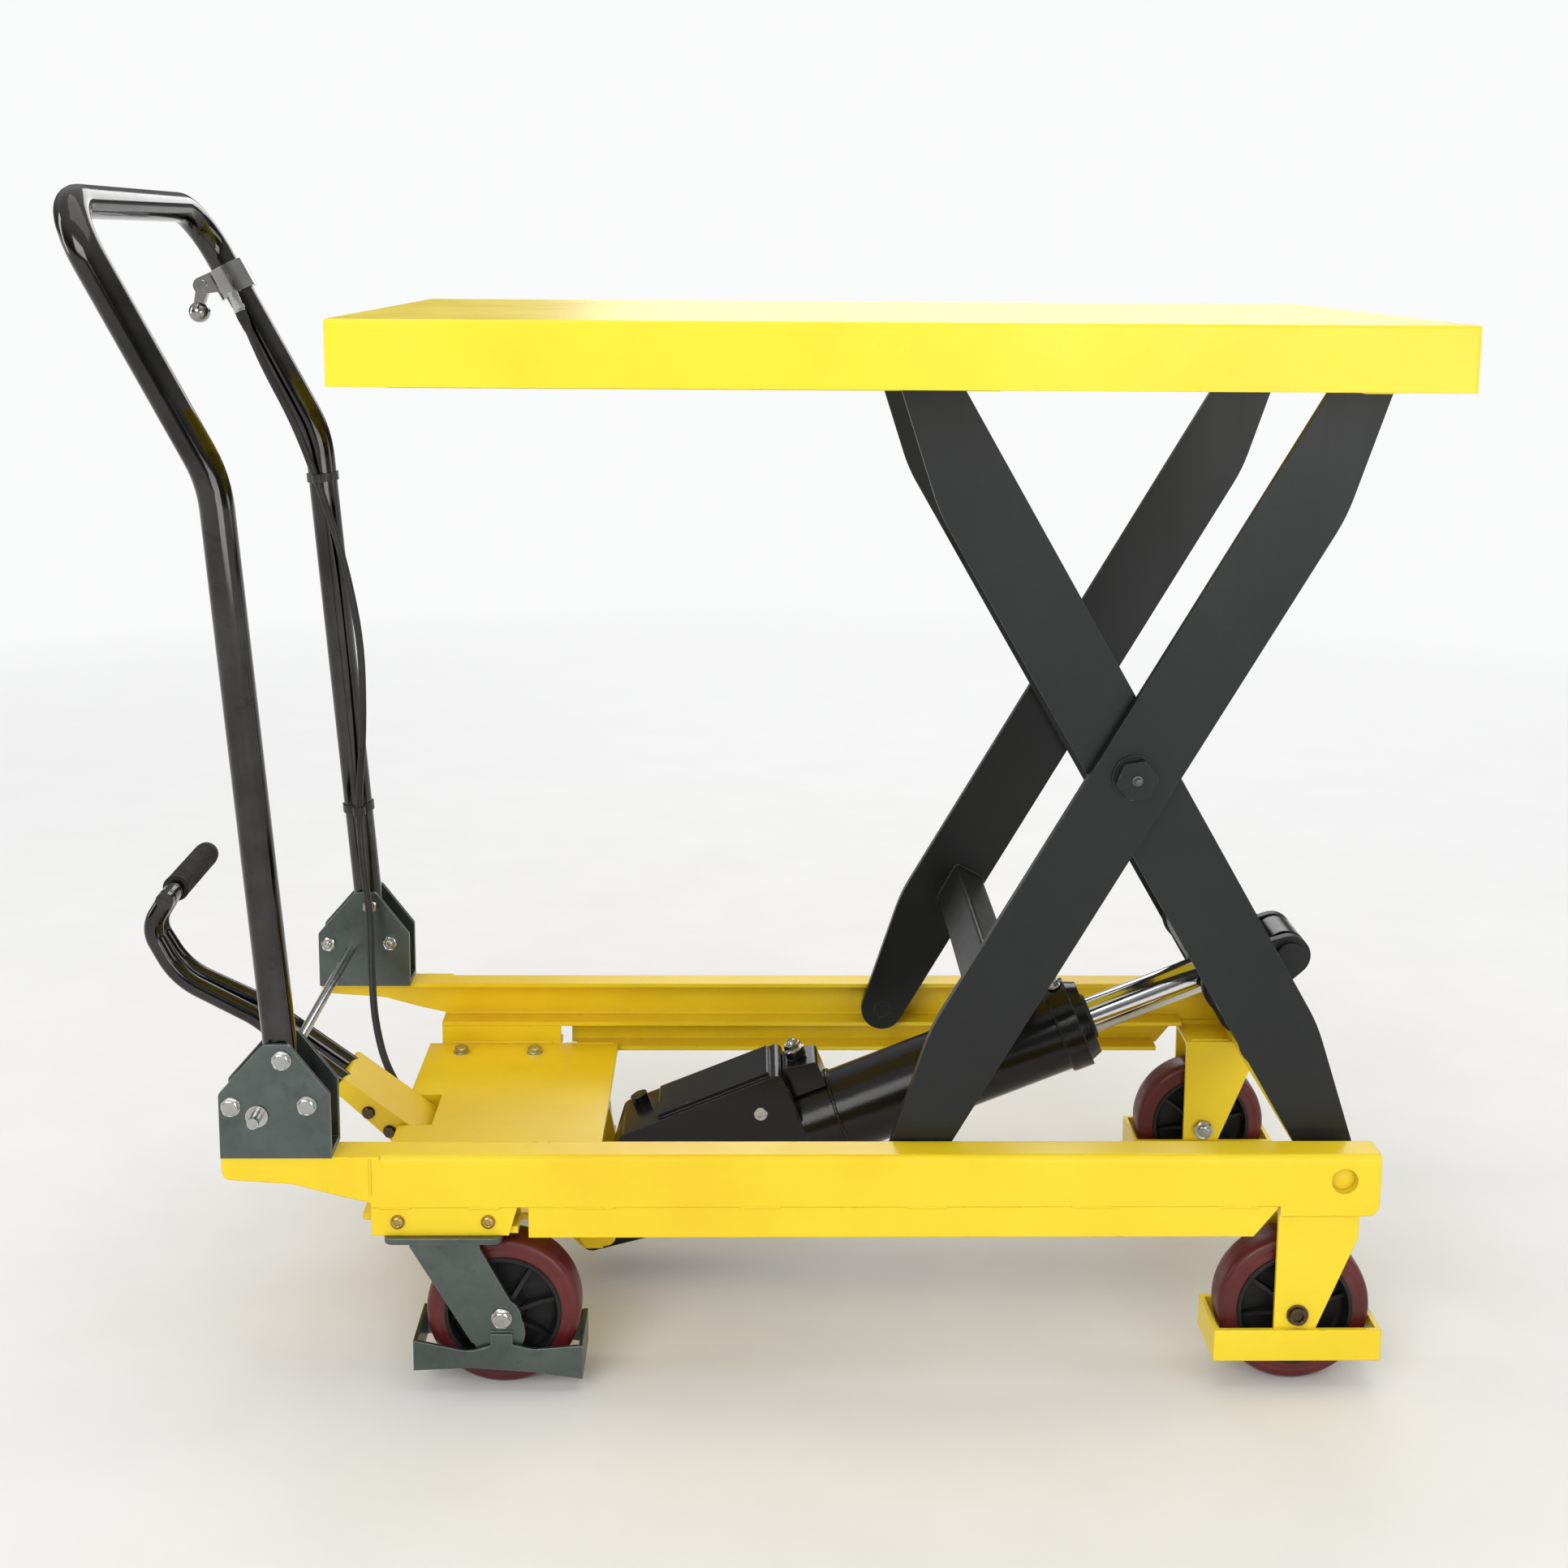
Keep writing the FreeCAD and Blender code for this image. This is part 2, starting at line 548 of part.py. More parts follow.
# bearers that carry the tracks and stiffen the sheet
sheet_z = TABLE_TOP - SHEET
b1 = [box(x, x + 40, -246, 246, tr_top + 4, sheet_z) for x in (-392, -170, 40)]
put("table_tracks", group([trk, mirror(trk)] + b1))
brk = fuse([plate([(UPX - 45, sheet_z), (UPX - 20, UPZ - 20, 18), (UPX + 20, UPZ - 20, 18), (UPX + 45, sheet_z)], -184, -176),
            box(UPX - 45, UPX + 45, -205, -176, sheet_z - 5, sheet_z)])
brk = cut(brk, [rod(UPX, UPZ, -190, -170, PIN_R)])
tp = fuse([rod(UPX, UPZ, -188, -160, PIN_R), rod(UPX, UPZ, -188, -184, 14)])
put("table_pivot_brackets", group([brk, mirror(brk), tp, mirror(tp)]))

# ------------------------------------------------------------ hydraulic unit
ang = math.atan2(qz - CZ, qx - CX)
ca, sa = math.cos(ang), math.sin(ang)
LEN = math.hypot(qx - CX, qz - CZ)


def sn(s, n):
    return (CX + s * ca - n * sa, CZ + s * sa + n * ca)


def along(s0, s1, r, n=0.0, y=0.0):
    p = sn(s0, n)
    return Part.makeCylinder(r, s1 - s0, V(p[0] + DX, y, p[1]), V(ca, 0, sa))


def cone_along(s0, s1, r0, r1, n=0.0, y=0.0):
    p = sn(s0, n)
    return Part.makeCone(r0, r1, s1 - s0, V(p[0] + DX, y, p[1]), V(ca, 0, sa))


def sn_plate(pts, y0, y1):
    return plate([sn(p[0], p[1]) + tuple(p[2:]) for p in pts], y0, y1)


BASE_HALF = 42.0
pump = sn_plate([(-18, -24, 10), (-24, 8, 12), (22, 30, 10), (52, 68, 8), (206, 68, 6), (206, -32, 6), (60, -34, 10)], -36, 36)
pump = cut(pump, [rod(CX, CZ, -60, 60, 10 + FIT)])
tubeo = along(206, 452, CYL_R)
put("cylinder_tube", cut(tubeo, [along(230, 453, 30.0)]))
gl = fuse([along(452, 470, 41.0), cone_along(470, 480, 37.0, 33.0)])
put("cylinder_gland", cut(gl, [along(440, 490, ROD_R + FIT)]))
# clamp with its bolt over the pump's front edge
cl = fuse([sn_plate([(206, 36), (206, 66, 4), (238, 60, 4), (238, 36)], -20, 20)])
cl = cut(cl, [along(200, 240, CYL_R)])
s_b, n_b = 221.0, 64.0
bh = sn(s_b, n_b)
head1 = Part.makeCylinder(9, 7, V(bh[0] + DX, 0, bh[1]), V(-sa, 0, ca))
lp = sn(70, 68)
lugb = Part.makeCylinder(8, 9, V(lp[0] + DX, 18, lp[1]), V(-sa, 0, ca))
put("cylinder_clamp", group([cl, head1, lugb]))
put("pump_body", fuse([pump, sn_plate([(88, 66), (88, 72, 2), (196, 72, 2), (196, 66)], -30, 30)]))

# rod and eye
piston_s = 405.0
prod = fuse([along(piston_s, LEN - 20, ROD_R), along(piston_s, piston_s + 24, 29.6)])
put("piston_rod", prod)
eye = fuse([disc(qx, qz, 18.5, -20, 20), along(LEN - 44, LEN - 12, 19.0)])
eye = cut(eye, [rod(qx, qz, -30, 30, 10.2)])
eye = eye.cut(along(LEN - 60, LEN - 20, ROD_R))
put("rod_eye", eye.Solids[0])
prod2 = cut(prod, [disc(qx, qz, 11.0, -30, 30)])
put("piston_rod", prod2)

# base bracket under the cross plate
lug = plate([(-304, 136), (-243, 136), (-229, 66, 4), (-232, 47, 10), (-258, 42, 12), (-272, 56, 8)], -50, -44)
lug = cut(lug, [rod(CX, CZ, -60, -40, 10)])
bpin = fuse([rod(CX, CZ, -55, 55, 10), hexy(CX, CZ, -59, -50, 26), hexy(CX, CZ, 50, 59, 26)])

# --------------------------------------------------------------------- pedal
PY = 22.0
PPX, PPZ = -394.0, 108.0
lever = fuse([
    plate([(-478, 186, 4), (-487, 174, 4), (-404, 96, 10), (PPX + 8, PPZ - 16, 8), (PPX + 16, PPZ, 10), (PPX, PPZ + 14, 8)], PY - 32, PY + 32),
])
lever = cut(lever, [rod(PPX, PPZ, PY - 40, PY + 40, 8 + FIT)])
put("pedal_lever", lever)
pb = fuse([plate([(-420, 136), (-372, 136), (PPX + 14, PPZ - 8, 6), (PPX, PPZ - 14, 8), (PPX - 14, PPZ - 8, 6)], PY - 39, PY - 33)])
pb2 = pb.copy()
pb2.translate(V(0, 72, 0))
put("underframe_lugs", group([lug, mirror(lug), cut(pb, [rod(PPX, PPZ, -60, 80, 8)]), cut(pb2, [rod(PPX, PPZ, -60, 80, 8)])]))
put("pivot_shafts", group([rod(FX, FZ, -197, 197, PIN_R), bpin, fuse([rod(PPX, PPZ, PY - 42, PY + 42, 8), rod(PPX, PPZ, PY - 43, PY - 39, 12), rod(PPX, PPZ, PY + 39, PY + 43, 12)])]))
GX, GZ = -634.0, 350.0
LEG_R = 8.5
near = [(GX, 5, GZ), (-651, 5, 322), (-627, 5, 276), (-560, 5, 240), (-480, 5, 177), (-462, 5, 161)]
w = route([(p[0] + DX, p[1], p[2]) for p in near[:5]], [26, 70, 90])
leg_n = sweep(w, LEG_R)
far = [(GX, 22, GZ), (-651, 23, 322), (-627, 28, 276), (-560, 34, 240), (-480, 40, 177)]
w2 = route([(p[0] + DX, p[1], p[2]) for p in far], [26, 70, 90])
leg_f = sweep(w2, LEG_R)
bar = rod(GX, GZ, -4, 140, 8.0)
cap = [Part.makeSphere(LEG_R, V(GX + DX, 5, GZ)), Part.makeSphere(LEG_R, V(GX + DX, 22, GZ))]
frame_ = fuse([leg_n, leg_f, bar] + cap)
frame_ = frame_.cut(lever)
frame_ = max(frame_.Solids, key=lambda s: s.Volume)
put("pedal_frame", frame_)
gr = rod(GX, GZ, 32, 143, 12.0)
gr = gr.makeFillet(4.0, [e for e in gr.Edges if e.BoundBox.YMin > 142 and e.Curve.TypeId == "Part::GeomCircle"])
put("pedal_grip", cut(gr, [rod(GX, GZ, 20, 140, 8.0)]))

# -------------------------------------------------------------------- handle
H0, H1, H2 = (-484.0, 212.0), (-527.0, 750.0), (-638.0, 962.0)
hp = [(H0[0], -HANDLE_Y, H0[1]), (H1[0], -HANDLE_Y, H1[1]), (H2[0], -HANDLE_Y, H2[1]),
      (H2[0], HANDLE_Y, H2[1]), (H1[0], HANDLE_Y, H1[1]), (H0[0], HANDLE_Y, H0[1])]
hw_ = route([(p[0] + DX, p[1], p[2]) for p in hp], [110, 52, 52, 110])
handle = sweep(hw_, TUBE_R)
handle_in = sweep(hw_, TUBE_R - TUBE_T)
handle = handle.cut(handle_in)
B_TOP, B_L, B_R, B_ROD = (-485.5, 287.0), (-527.0, 248.0), (-466.5, 249.0), (-506.5, 240.0)
handle = handle.cut([rod(B_TOP[0], B_TOP[1], -220, -160, 4.0), rod(B_TOP[0], B_TOP[1], 160, 220, 4.0)])
put("push_handle", handle.Solids[0])

def bracket():
    prof = [(-537, 204), (-537, 258, 4), (-500, 300, 7), (-480, 300, 7), (-448, 258, 4), (-448, 204)]
    s = fuse([plate(prof, -206, -202), plate(prof, -174, -170), box(-537, -448, -206, -170, 204, 208)])
    return cut(s, [rod(b[0], b[1], -230, -150, r) for b, r in ((B_TOP, 4.0), (B_L, 4.0), (B_R, 4.0), (B_ROD, 4.5))])


br = bracket()
put("handle_brackets", group([br, mirror(br)]))
bolts = []
for b in (B_TOP, B_L, B_R):
    k = fuse([rod(b[0], b[1], -210.5, -166, 4.0), rod(b[0], b[1], -211.5, -206, 6.5), hexy(b[0], b[1], -170, -164, 13)])
    bolts += [k, mirror(k)]
put("bracket_bolts", group(bolts))
put("handle_lock_rod", rod(B_ROD[0], B_ROD[1], -221, 221, 4.5))

# ------------------------------------------------- release lever and its cable
def tube_x(z):
    """X of the handle tube's middle line at height z."""
    if z > H1[1]:
        return H1[0] + (z - H1[1]) / (H2[1] - H1[1]) * (H2[0] - H1[0])
    return H1[0] + (H1[1] - z) / (H1[1] - H0[1]) * (H0[0] - H1[0])


def tube_dir(z):
    a, b = (H1, H2) if z > H1[1] else (H0, H1)
    d = math.hypot(b[0] - a[0], b[1] - a[1])
    return ((b[0] - a[0]) / d, (b[1] - a[1]) / d)


def on_tube(z, r, h, off=0.0):
    """Cylinder about the handle tube's line, h long, middle at height z."""
    dx, dz = tube_dir(z)
    return Part.makeCylinder(r, h, V(tube_x(z) - dx * h / 2 + DX + off, HANDLE_Y, z - dz * h / 2), V(dx, 0, dz))


CLZ = 896.0
LPX, LPZ = tube_x(CLZ) - 27.0, CLZ - 6.0
clamp_ring = on_tube(CLZ, 18.0, 28.0)
arms_ = [hull2(tube_x(CLZ) - 6, CLZ, 11.0, LPX, LPZ, 8.0, HANDLE_Y + a, HANDLE_Y + a + 4.5) for a in (-9.0, 4.5)]
clampb = fuse([clamp_ring] + arms_)
clampb = clampb.cut(on_tube(CLZ, TUBE_R, 90.0))
clampb = clampb.cut(rod(LPX, LPZ, HANDLE_Y - 20, HANDLE_Y + 20, 3.0))
rpin = fuse([rod(LPX, LPZ, HANDLE_Y - 11, HANDLE_Y + 11, 3.0), rod(LPX, LPZ, HANDLE_Y - 11, HANDLE_Y - 9, 5.0), rod(LPX, LPZ, HANDLE_Y + 9, HANDLE_Y + 11, 5.0)])
put("release_clamp", group([max(clampb.Solids, key=lambda q: q.Volume), rpin]))
KX, KZ = LPX - 5.0, LPZ - 25.0
lev = fuse([disc(LPX, LPZ, 7.0, HANDLE_Y - 4, HANDLE_Y + 4), hull2(LPX, LPZ, 6.0, KX, KZ + 6, 4.5, HANDLE_Y - 4, HANDLE_Y + 4)])
lev = lev.cut(rod(LPX, LPZ, HANDLE_Y - 20, HANDLE_Y + 20, 3.0 + FIT))
ball = Part.makeSphere(10.0, V(KX + DX, HANDLE_Y, KZ))
lev = lev.cut(ball)
put("release_lever", max(lev.Solids, key=lambda q: q.Volume))
put("release_knob", ball)

# cable: straight runs and tangent arcs from the ferrule to the anchor
CAB_R = 3.5
AX, AY, AZ = -404.0, 74.0, 114.0
cab = [
    (tube_x(866) - 4, 168.0, 866.0),
    (tube_x(815) - 10, 167.0, 815.0),
    (tube_x(765) - 11, 167.5, 765.0),
    (tube_x(705) - 1, 170.0, 705.0),
    (tube_x(630) + 16, 169.0, 630.0),
    (tube_x(550) + 24, 168.0, 550.0),
    (tube_x(465) + 17, 168.0, 465.0),
    (tube_x(390) + 4, 170.0, 390.0),
    (tube_x(330) + 3, 163.0, 330.0),
    (-481.0, 149.0, 280.0),
    (-478.0, 131.0, 235.0),
    (-472.0, 109.0, 194.0),
    (-459.0, 88.0, 158.0),
    (-437.0, 75.5, 126.0),
    (AX, AY, AZ),
]
cab_w = route([(p[0] + DX, p[1], p[2]) for p in cab], [None] * (len(cab) - 2))
cable = sweep(cab_w, CAB_R)
print("cable length", round(cab_w.Length, 1), "volume ratio", round(cable.Volume / (math.pi * CAB_R ** 2 * cab_w.Length), 4))
for e in cab_w.Edges:
    if e.Curve.TypeId == "Part::GeomCircle":
        print("  cable radius", round(e.Curve.Radius, 1))
fat = sweep(cab_w, CAB_R + 0.25)
put("release_cable", cable)
d0 = V(cab[1][0] - cab[0][0], cab[1][1] - cab[0][1], cab[1][2] - cab[0][2]).normalize()
fer = Part.makeCylinder(5.0, 20.0, V(cab[0][0] + DX - d0.x * 20, cab[0][1] - d0.y * 20, cab[0][2] - d0.z * 20), d0)
fer = fer.cut(Part.makeCylinder(18.3, 28.0, V(tube_x(CLZ) + DX - tube_dir(CLZ)[0] * 14, HANDLE_Y, CLZ - tube_dir(CLZ)[1] * 14), V(tube_dir(CLZ)[0], 0, tube_dir(CLZ)[1])))
put("cable_fittings", group([max(fer.cut(fat).Solids, key=lambda q: q.Volume), max(box(AX, AX + 20, AY - 7, AY + 7, AZ - 8, 136.0).cut(fat).Solids, key=lambda q: q.Volume)]))


def tie(z, p):
    dx, dz = tube_dir(z)
    r0 = on_tube(z, TUBE_R + 1.6, 8.0)
    c = Part.makeCylinder(CAB_R + 2.6, 8.0, V(p[0] - dx * 4 + DX, p[1], p[2] - dz * 4), V(dx, 0, dz))
    s = fuse([r0, c])
    s = s.cut(on_tube(z, TUBE_R, 30.0)).cut(fat)
    return max(s.Solids, key=lambda q: q.Volume)


put("cable_ties", group([tie(709.0, (tube_x(709) - 0.5, 170.0, 709.0)), tie(383.0, (tube_x(383) + 4.0, 169.5, 383.0))]))

# ------------------------------------------------------------------- export
lo = [1e9] * 3
hi = [-1e9] * 3
for name in sorted(NODES):
    s = NODES[name]
    if not s.isValid():
        print("invalid:", name)
    if s.Volume <= 0:
        print("no volume:", name)
    b = s.optimalBoundingBox(False)
    for i, (p, q) in enumerate(((b.XMin, b.XMax), (b.YMin, b.YMax), (b.ZMin, b.ZMax))):
        lo[i], hi[i] = min(lo[i], p), max(hi[i], q)
    s.exportStep("parts/" + name + ".step")
print("nodes", len(NODES), "solids", sum(len(s.Solids) for s in NODES.values()))
print("box", [round(v, 2) for v in lo], [round(v, 2) for v in hi])
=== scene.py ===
import bpy, bmesh, json, math, random
from mathutils import Vector, Matrix, noise


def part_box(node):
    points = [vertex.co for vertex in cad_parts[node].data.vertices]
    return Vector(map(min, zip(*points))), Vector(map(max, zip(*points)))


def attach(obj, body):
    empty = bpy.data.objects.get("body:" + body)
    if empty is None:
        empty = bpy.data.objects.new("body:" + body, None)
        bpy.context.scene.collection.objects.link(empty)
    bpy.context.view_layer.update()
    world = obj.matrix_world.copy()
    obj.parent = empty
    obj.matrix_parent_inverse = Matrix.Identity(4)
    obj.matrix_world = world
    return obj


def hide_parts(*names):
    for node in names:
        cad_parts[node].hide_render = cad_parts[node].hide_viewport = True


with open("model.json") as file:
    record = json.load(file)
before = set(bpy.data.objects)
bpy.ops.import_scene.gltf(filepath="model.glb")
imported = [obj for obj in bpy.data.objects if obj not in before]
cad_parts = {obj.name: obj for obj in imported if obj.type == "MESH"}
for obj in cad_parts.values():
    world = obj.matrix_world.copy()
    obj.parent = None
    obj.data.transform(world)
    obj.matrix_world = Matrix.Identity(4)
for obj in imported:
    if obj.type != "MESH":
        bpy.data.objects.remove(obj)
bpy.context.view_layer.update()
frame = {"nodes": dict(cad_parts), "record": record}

random.seed(7)

# Row frame, metres: +Z up, -X the push-handle end, camera looks along +Y.
DX = 0.11497
T = lambda x, y, z: Vector((x + DX, y, z))       # table-centred X to row X
NODES, COL = frame["nodes"], bpy.context.scene.collection


# ------------------------------------------------------------------ node help
class Net:
    """Small helper round one material's node tree."""

    def __init__(self, name):
        self.m = bpy.data.materials.new(name)
        self.m.use_nodes = True
        self.t = self.m.node_tree
        self.t.nodes.clear()
        self.out = self.t.nodes.new("ShaderNodeOutputMaterial")
        self.b = self.t.nodes.new("ShaderNodeBsdfPrincipled")
        self.t.links.new(self.b.outputs[0], self.out.inputs[0])
        self.pos = self.n("ShaderNodeTexCoord").outputs["Object"]

    def n(self, kind, **kw):
        x = self.t.nodes.new(kind)
        for k, v in kw.items():
            setattr(x, k, v)
        return x

    def link(self, a, b):
        self.t.links.new(a, b)

    def set(self, **kw):
        for k, v in kw.items():
            self.b.inputs[k.replace("_", " ")].default_value = v

    def mapped(self, scale=(1, 1, 1), rot=(0, 0, 0), src=None):
        m = self.n("ShaderNodeMapping")
        m.inputs["Scale"].default_value = scale
        m.inputs["Rotation"].default_value = rot
        self.link(src or self.pos, m.inputs["Vector"])
        return m.outputs[0]

    def noise(self, scale, detail=3.0, rough=0.5, vec=None, distortion=0.0):
        x = self.n("ShaderNodeTexNoise")
        x.inputs["Scale"].default_value = scale
        x.inputs["Detail"].default_value = detail
        x.inputs["Roughness"].default_value = rough
        x.inputs["Distortion"].default_value = distortion
        self.link(vec or self.pos, x.inputs["Vector"])
        return x.outputs["Fac"]

    def voronoi(self, scale, vec=None, out="Distance", feature="F1"):
        x = self.n("ShaderNodeTexVoronoi", feature=feature)
        x.inputs["Scale"].default_value = scale
        self.link(vec or self.pos, x.inputs["Vector"])
        return x.outputs[out]

    def ramp(self, fac, stops, mode="LINEAR"):
        r = self.n("ShaderNodeValToRGB")
        r.color_ramp.interpolation = mode
        el = r.color_ramp.elements
        el[0].position, el[0].color = stops[0][0], col(stops[0][1])
        el[1].position, el[1].color = stops[-1][0], col(stops[-1][1])
        for p, c in stops[1:-1]:
            e = el.new(p)
            e.color = col(c)
        self.link(fac, r.inputs["Fac"])
        return r.outputs["Color"]

    def rng(self, fac, a, b, lo=0.0, hi=1.0):
        r = self.n("ShaderNodeMapRange", clamp=True)
        for i, v in enumerate((a, b, lo, hi)):
            r.inputs[i + 1].default_value = v
        self.link(fac, r.inputs[0])
        return r.outputs[0]

    def math(self, op, a, b=None, clamp=False):
        r = self.n("ShaderNodeMath", operation=op, use_clamp=clamp)
        for i, v in enumerate((a, b)):
            if v is None:
                continue
            if isinstance(v, (int, float)):
                r.inputs[i].default_value = v
            else:
                self.link(v, r.inputs[i])
        return r.outputs[0]

    def mix(self, fac, a, b, blend="MIX"):
        r = self.n("ShaderNodeMix", data_type="RGBA", blend_type=blend)
        for sock, v in ((r.inputs["Factor"], fac), (r.inputs["A"], a), (r.inputs["B"], b)):
            pass
        ins = [s for s in r.inputs if s.enabled]
        for s, v in zip(ins, (fac, a, b)):
            if isinstance(v, (int, float)):
                s.default_value = v
            elif isinstance(v, (tuple, list)):
                s.default_value = col(v)
            else:
                self.link(v, s)
        return [s for s in r.outputs if s.enabled][0]

    def bump(self, height, strength, dist=0.001, normal=None):
        b = self.n("ShaderNodeBump")
        b.inputs["Strength"].default_value = strength
        b.inputs["Distance"].default_value = dist
        self.link(height, b.inputs["Height"])
        if normal is not None:
            self.link(normal, b.inputs["Normal"])
        return b.outputs[0]

    def round(self, radius=0.0012):
        """Normal with its sharp edges rounded off, the first link of every bump chain."""
        be = self.n("ShaderNodeBevel", samples=4)
        be.inputs["Radius"].default_value = radius
        return be.outputs[0]

    def edge(self, radius=0.0025, lo=0.03, hi=0.22):
        """0 on flat ground, 1 along outer and inner edges."""
        be = self.n("ShaderNodeBevel", samples=4)
        be.inputs["Radius"].default_value = radius
        g = self.n("ShaderNodeNewGeometry")
        d = self.n("ShaderNodeVectorMath", operation="DOT_PRODUCT")
        self.link(be.outputs[0], d.inputs[0])
        self.link(g.outputs["Normal"], d.inputs[1])
        inv = self.math("SUBTRACT", 1.0, d.outputs["Value"])
        return self.rng(inv, lo, hi)

    def up(self):
        g = self.n("ShaderNodeNewGeometry")
        s = self.n("ShaderNodeSeparateXYZ")
        self.link(g.outputs["Normal"], s.inputs[0])
        return s.outputs[2]

    def axis(self, i):
        s = self.n("ShaderNodeSeparateXYZ")
        self.link(self.pos, s.inputs[0])
        return s.outputs[i]

    def ao(self, dist=0.03):
        a = self.n("ShaderNodeAmbientOcclusion", samples=4)
        a.inputs["Distance"].default_value = dist
        return a.outputs["AO"]


def col(c):
    return (c, c, c, 1) if isinstance(c, (int, float)) else (*c[:3], 1)


# ------------------------------------------------------------------ materials
def paint(name, base, shade, pale, rough=(0.27, 0.40), peel=0.09, scratch=0.0, weld=False):
    """Powder coat: orange peel, cloudy film thickness, painted highlight along the edges, painted shade in the corners.
    """
    k = Net(name)
    cloud = k.noise(3.5, 5, 0.6)
    c = k.ramp(cloud, [(0.34, shade), (0.52, base), (0.7, pale)])
    fine = k.noise(46, 4, 0.62)
    c = k.mix(k.rng(fine, 0.54, 0.74, 0.0, 0.16), c, shade)
    # painted shade: darker where surfaces meet, from an ambient-occlusion mask broken up by noise
    occ = k.ao(0.022)
    painted_corner_shade = k.math("MULTIPLY", k.rng(occ, 0.75, 0.30), k.rng(k.noise(60, 4, 0.7), 0.35, 0.65, 0.35, 1.0))
    c = k.mix(k.math("MULTIPLY", painted_corner_shade, 0.42), c, tuple(x * 0.40 for x in shade))
    # painted highlight: every edge lighter; here and there the edge is rubbed to primer
    e = k.edge(0.0016, 0.02, 0.16)
    c = k.mix(k.math("MULTIPLY", e, 0.35), c, tuple(min(1, x * 1.12 + 0.015) for x in pale))
    chip = k.math("MULTIPLY", k.rng(k.noise(85, 4, 0.75), 0.60, 0.66), k.edge(0.0022, 0.05, 0.16))
    c = k.mix(k.math("MULTIPLY", chip, 0.6), c, (0.16, 0.13, 0.09))
    # fly specks and dust nibs in the coat
    nib = k.rng(k.voronoi(95), 0.045, 0.015)
    c = k.mix(k.math("MULTIPLY", nib, 0.18), c, tuple(x * 0.45 for x in shade))
    r = k.rng(k.noise(22, 5, 0.6), 0.3, 0.72, *rough)
    if scratch:
        w1 = k.noise(16, 6, 0.72, k.mapped((1, 34, 1), (0, 0, 0.12)))
        w2 = k.noise(11, 6, 0.72, k.mapped((30, 1, 1), (0, 0, -0.3)))
        s = k.math("MAXIMUM", k.rng(w1, 0.665, 0.70), k.math("MULTIPLY", k.rng(w2, 0.69, 0.72), 0.7))
        s = k.math("MULTIPLY", s, k.rng(k.up(), 0.6, 0.9))
        c = k.mix(k.math("MULTIPLY", s, scratch), c, tuple(min(1, x * 1.08 + 0.06) for x in pale))
        r = k.math("ADD", r, k.math("MULTIPLY", s, 0.12))
    k.link(c, k.b.inputs["Base Color"])
    k.link(r, k.b.inputs["Roughness"])
    h = k.bump(k.noise(430, 2, 0.5), peel, 0.0006, k.round(0.0014))
    h = k.bump(k.noise(120, 3, 0.5), peel * 1.2, 0.0008, h)
    if weld:
        h = k.bump(k.noise(900, 3, 0.6), 0.35, 0.0006, h)
    k.link(h, k.b.inputs["Normal"])
    k.set(Coat_Weight=0.10, Coat_Roughness=0.18, Specular_IOR_Level=0.34)
    return k.m


YEL = (0.895, 0.652, 0.016)
M = {}
M["yellow_paint"] = paint("paint_yellow", YEL, (0.840, 0.572, 0.010), (0.925, 0.710, 0.028))
M["yellow_table"] = paint("paint_yellow_table", (0.935, 0.735, 0.026), (0.90, 0.665, 0.018),
                          (0.95, 0.77, 0.045), scratch=0.35)
M["yellow_weld"] = paint("paint_yellow_weld", YEL, (0.80, 0.52, 0.012), (0.92, 0.67, 0.03), peel=0.2, weld=True)


def black(name, base, lift, rough, peel=0.08, coat=0.1, dust=0.12, spec=0.42):
    k = Net(name)
    c = k.ramp(k.noise(5, 5, 0.62), [(0.35, base), (0.68, lift)])
    # dust settles on what faces up
    d = k.math("MULTIPLY", k.rng(k.up(), 0.1, 0.95), k.rng(k.noise(30, 6, 0.7), 0.36, 0.7))
    c = k.mix(k.math("MULTIPLY", d, dust), c, (0.16, 0.155, 0.14))
    # painted highlight: every edge lighter grey
    e = k.edge(0.0018, 0.03, 0.2)
    c = k.mix(k.math("MULTIPLY", e, 0.32), c, (0.085, 0.09, 0.088))
    chip = k.math("MULTIPLY", k.rng(k.noise(110, 4, 0.75), 0.58, 0.66), k.edge(0.002, 0.08, 0.22))
    c = k.mix(k.math("MULTIPLY", chip, 0.7), c, (0.22, 0.215, 0.2))
    smear = k.noise(9, 6, 0.7, k.mapped((1, 1, 0.18), (0, 0.5, 0)))
    r = k.rng(smear, 0.3, 0.7, *rough)
    k.link(c, k.b.inputs["Base Color"])
    k.link(r, k.b.inputs["Roughness"])
    h = k.bump(k.noise(520, 2, 0.5), peel, 0.0006, k.round(0.0012))
    h = k.bump(k.noise(70, 4, 0.55), peel, 0.0006, h)
    k.link(h, k.b.inputs["Normal"])
    k.set(Coat_Weight=coat, Coat_Roughness=0.14, Specular_IOR_Level=spec)
    return k.m


M["arm_black"] = black("paint_arm_black", (0.0055, 0.0070, 0.0070), (0.0105, 0.0130, 0.0128), (0.34, 0.48), coat=0.05, dust=0.10,
                       spec=0.33)
M["gloss_black"] = black("paint_gloss_black", (0.0045, 0.0045, 0.0048), (0.006, 0.006, 0.0065), (0.13, 0.24),
                         peel=0.14, coat=0.0, dust=0.04, spec=0.32)


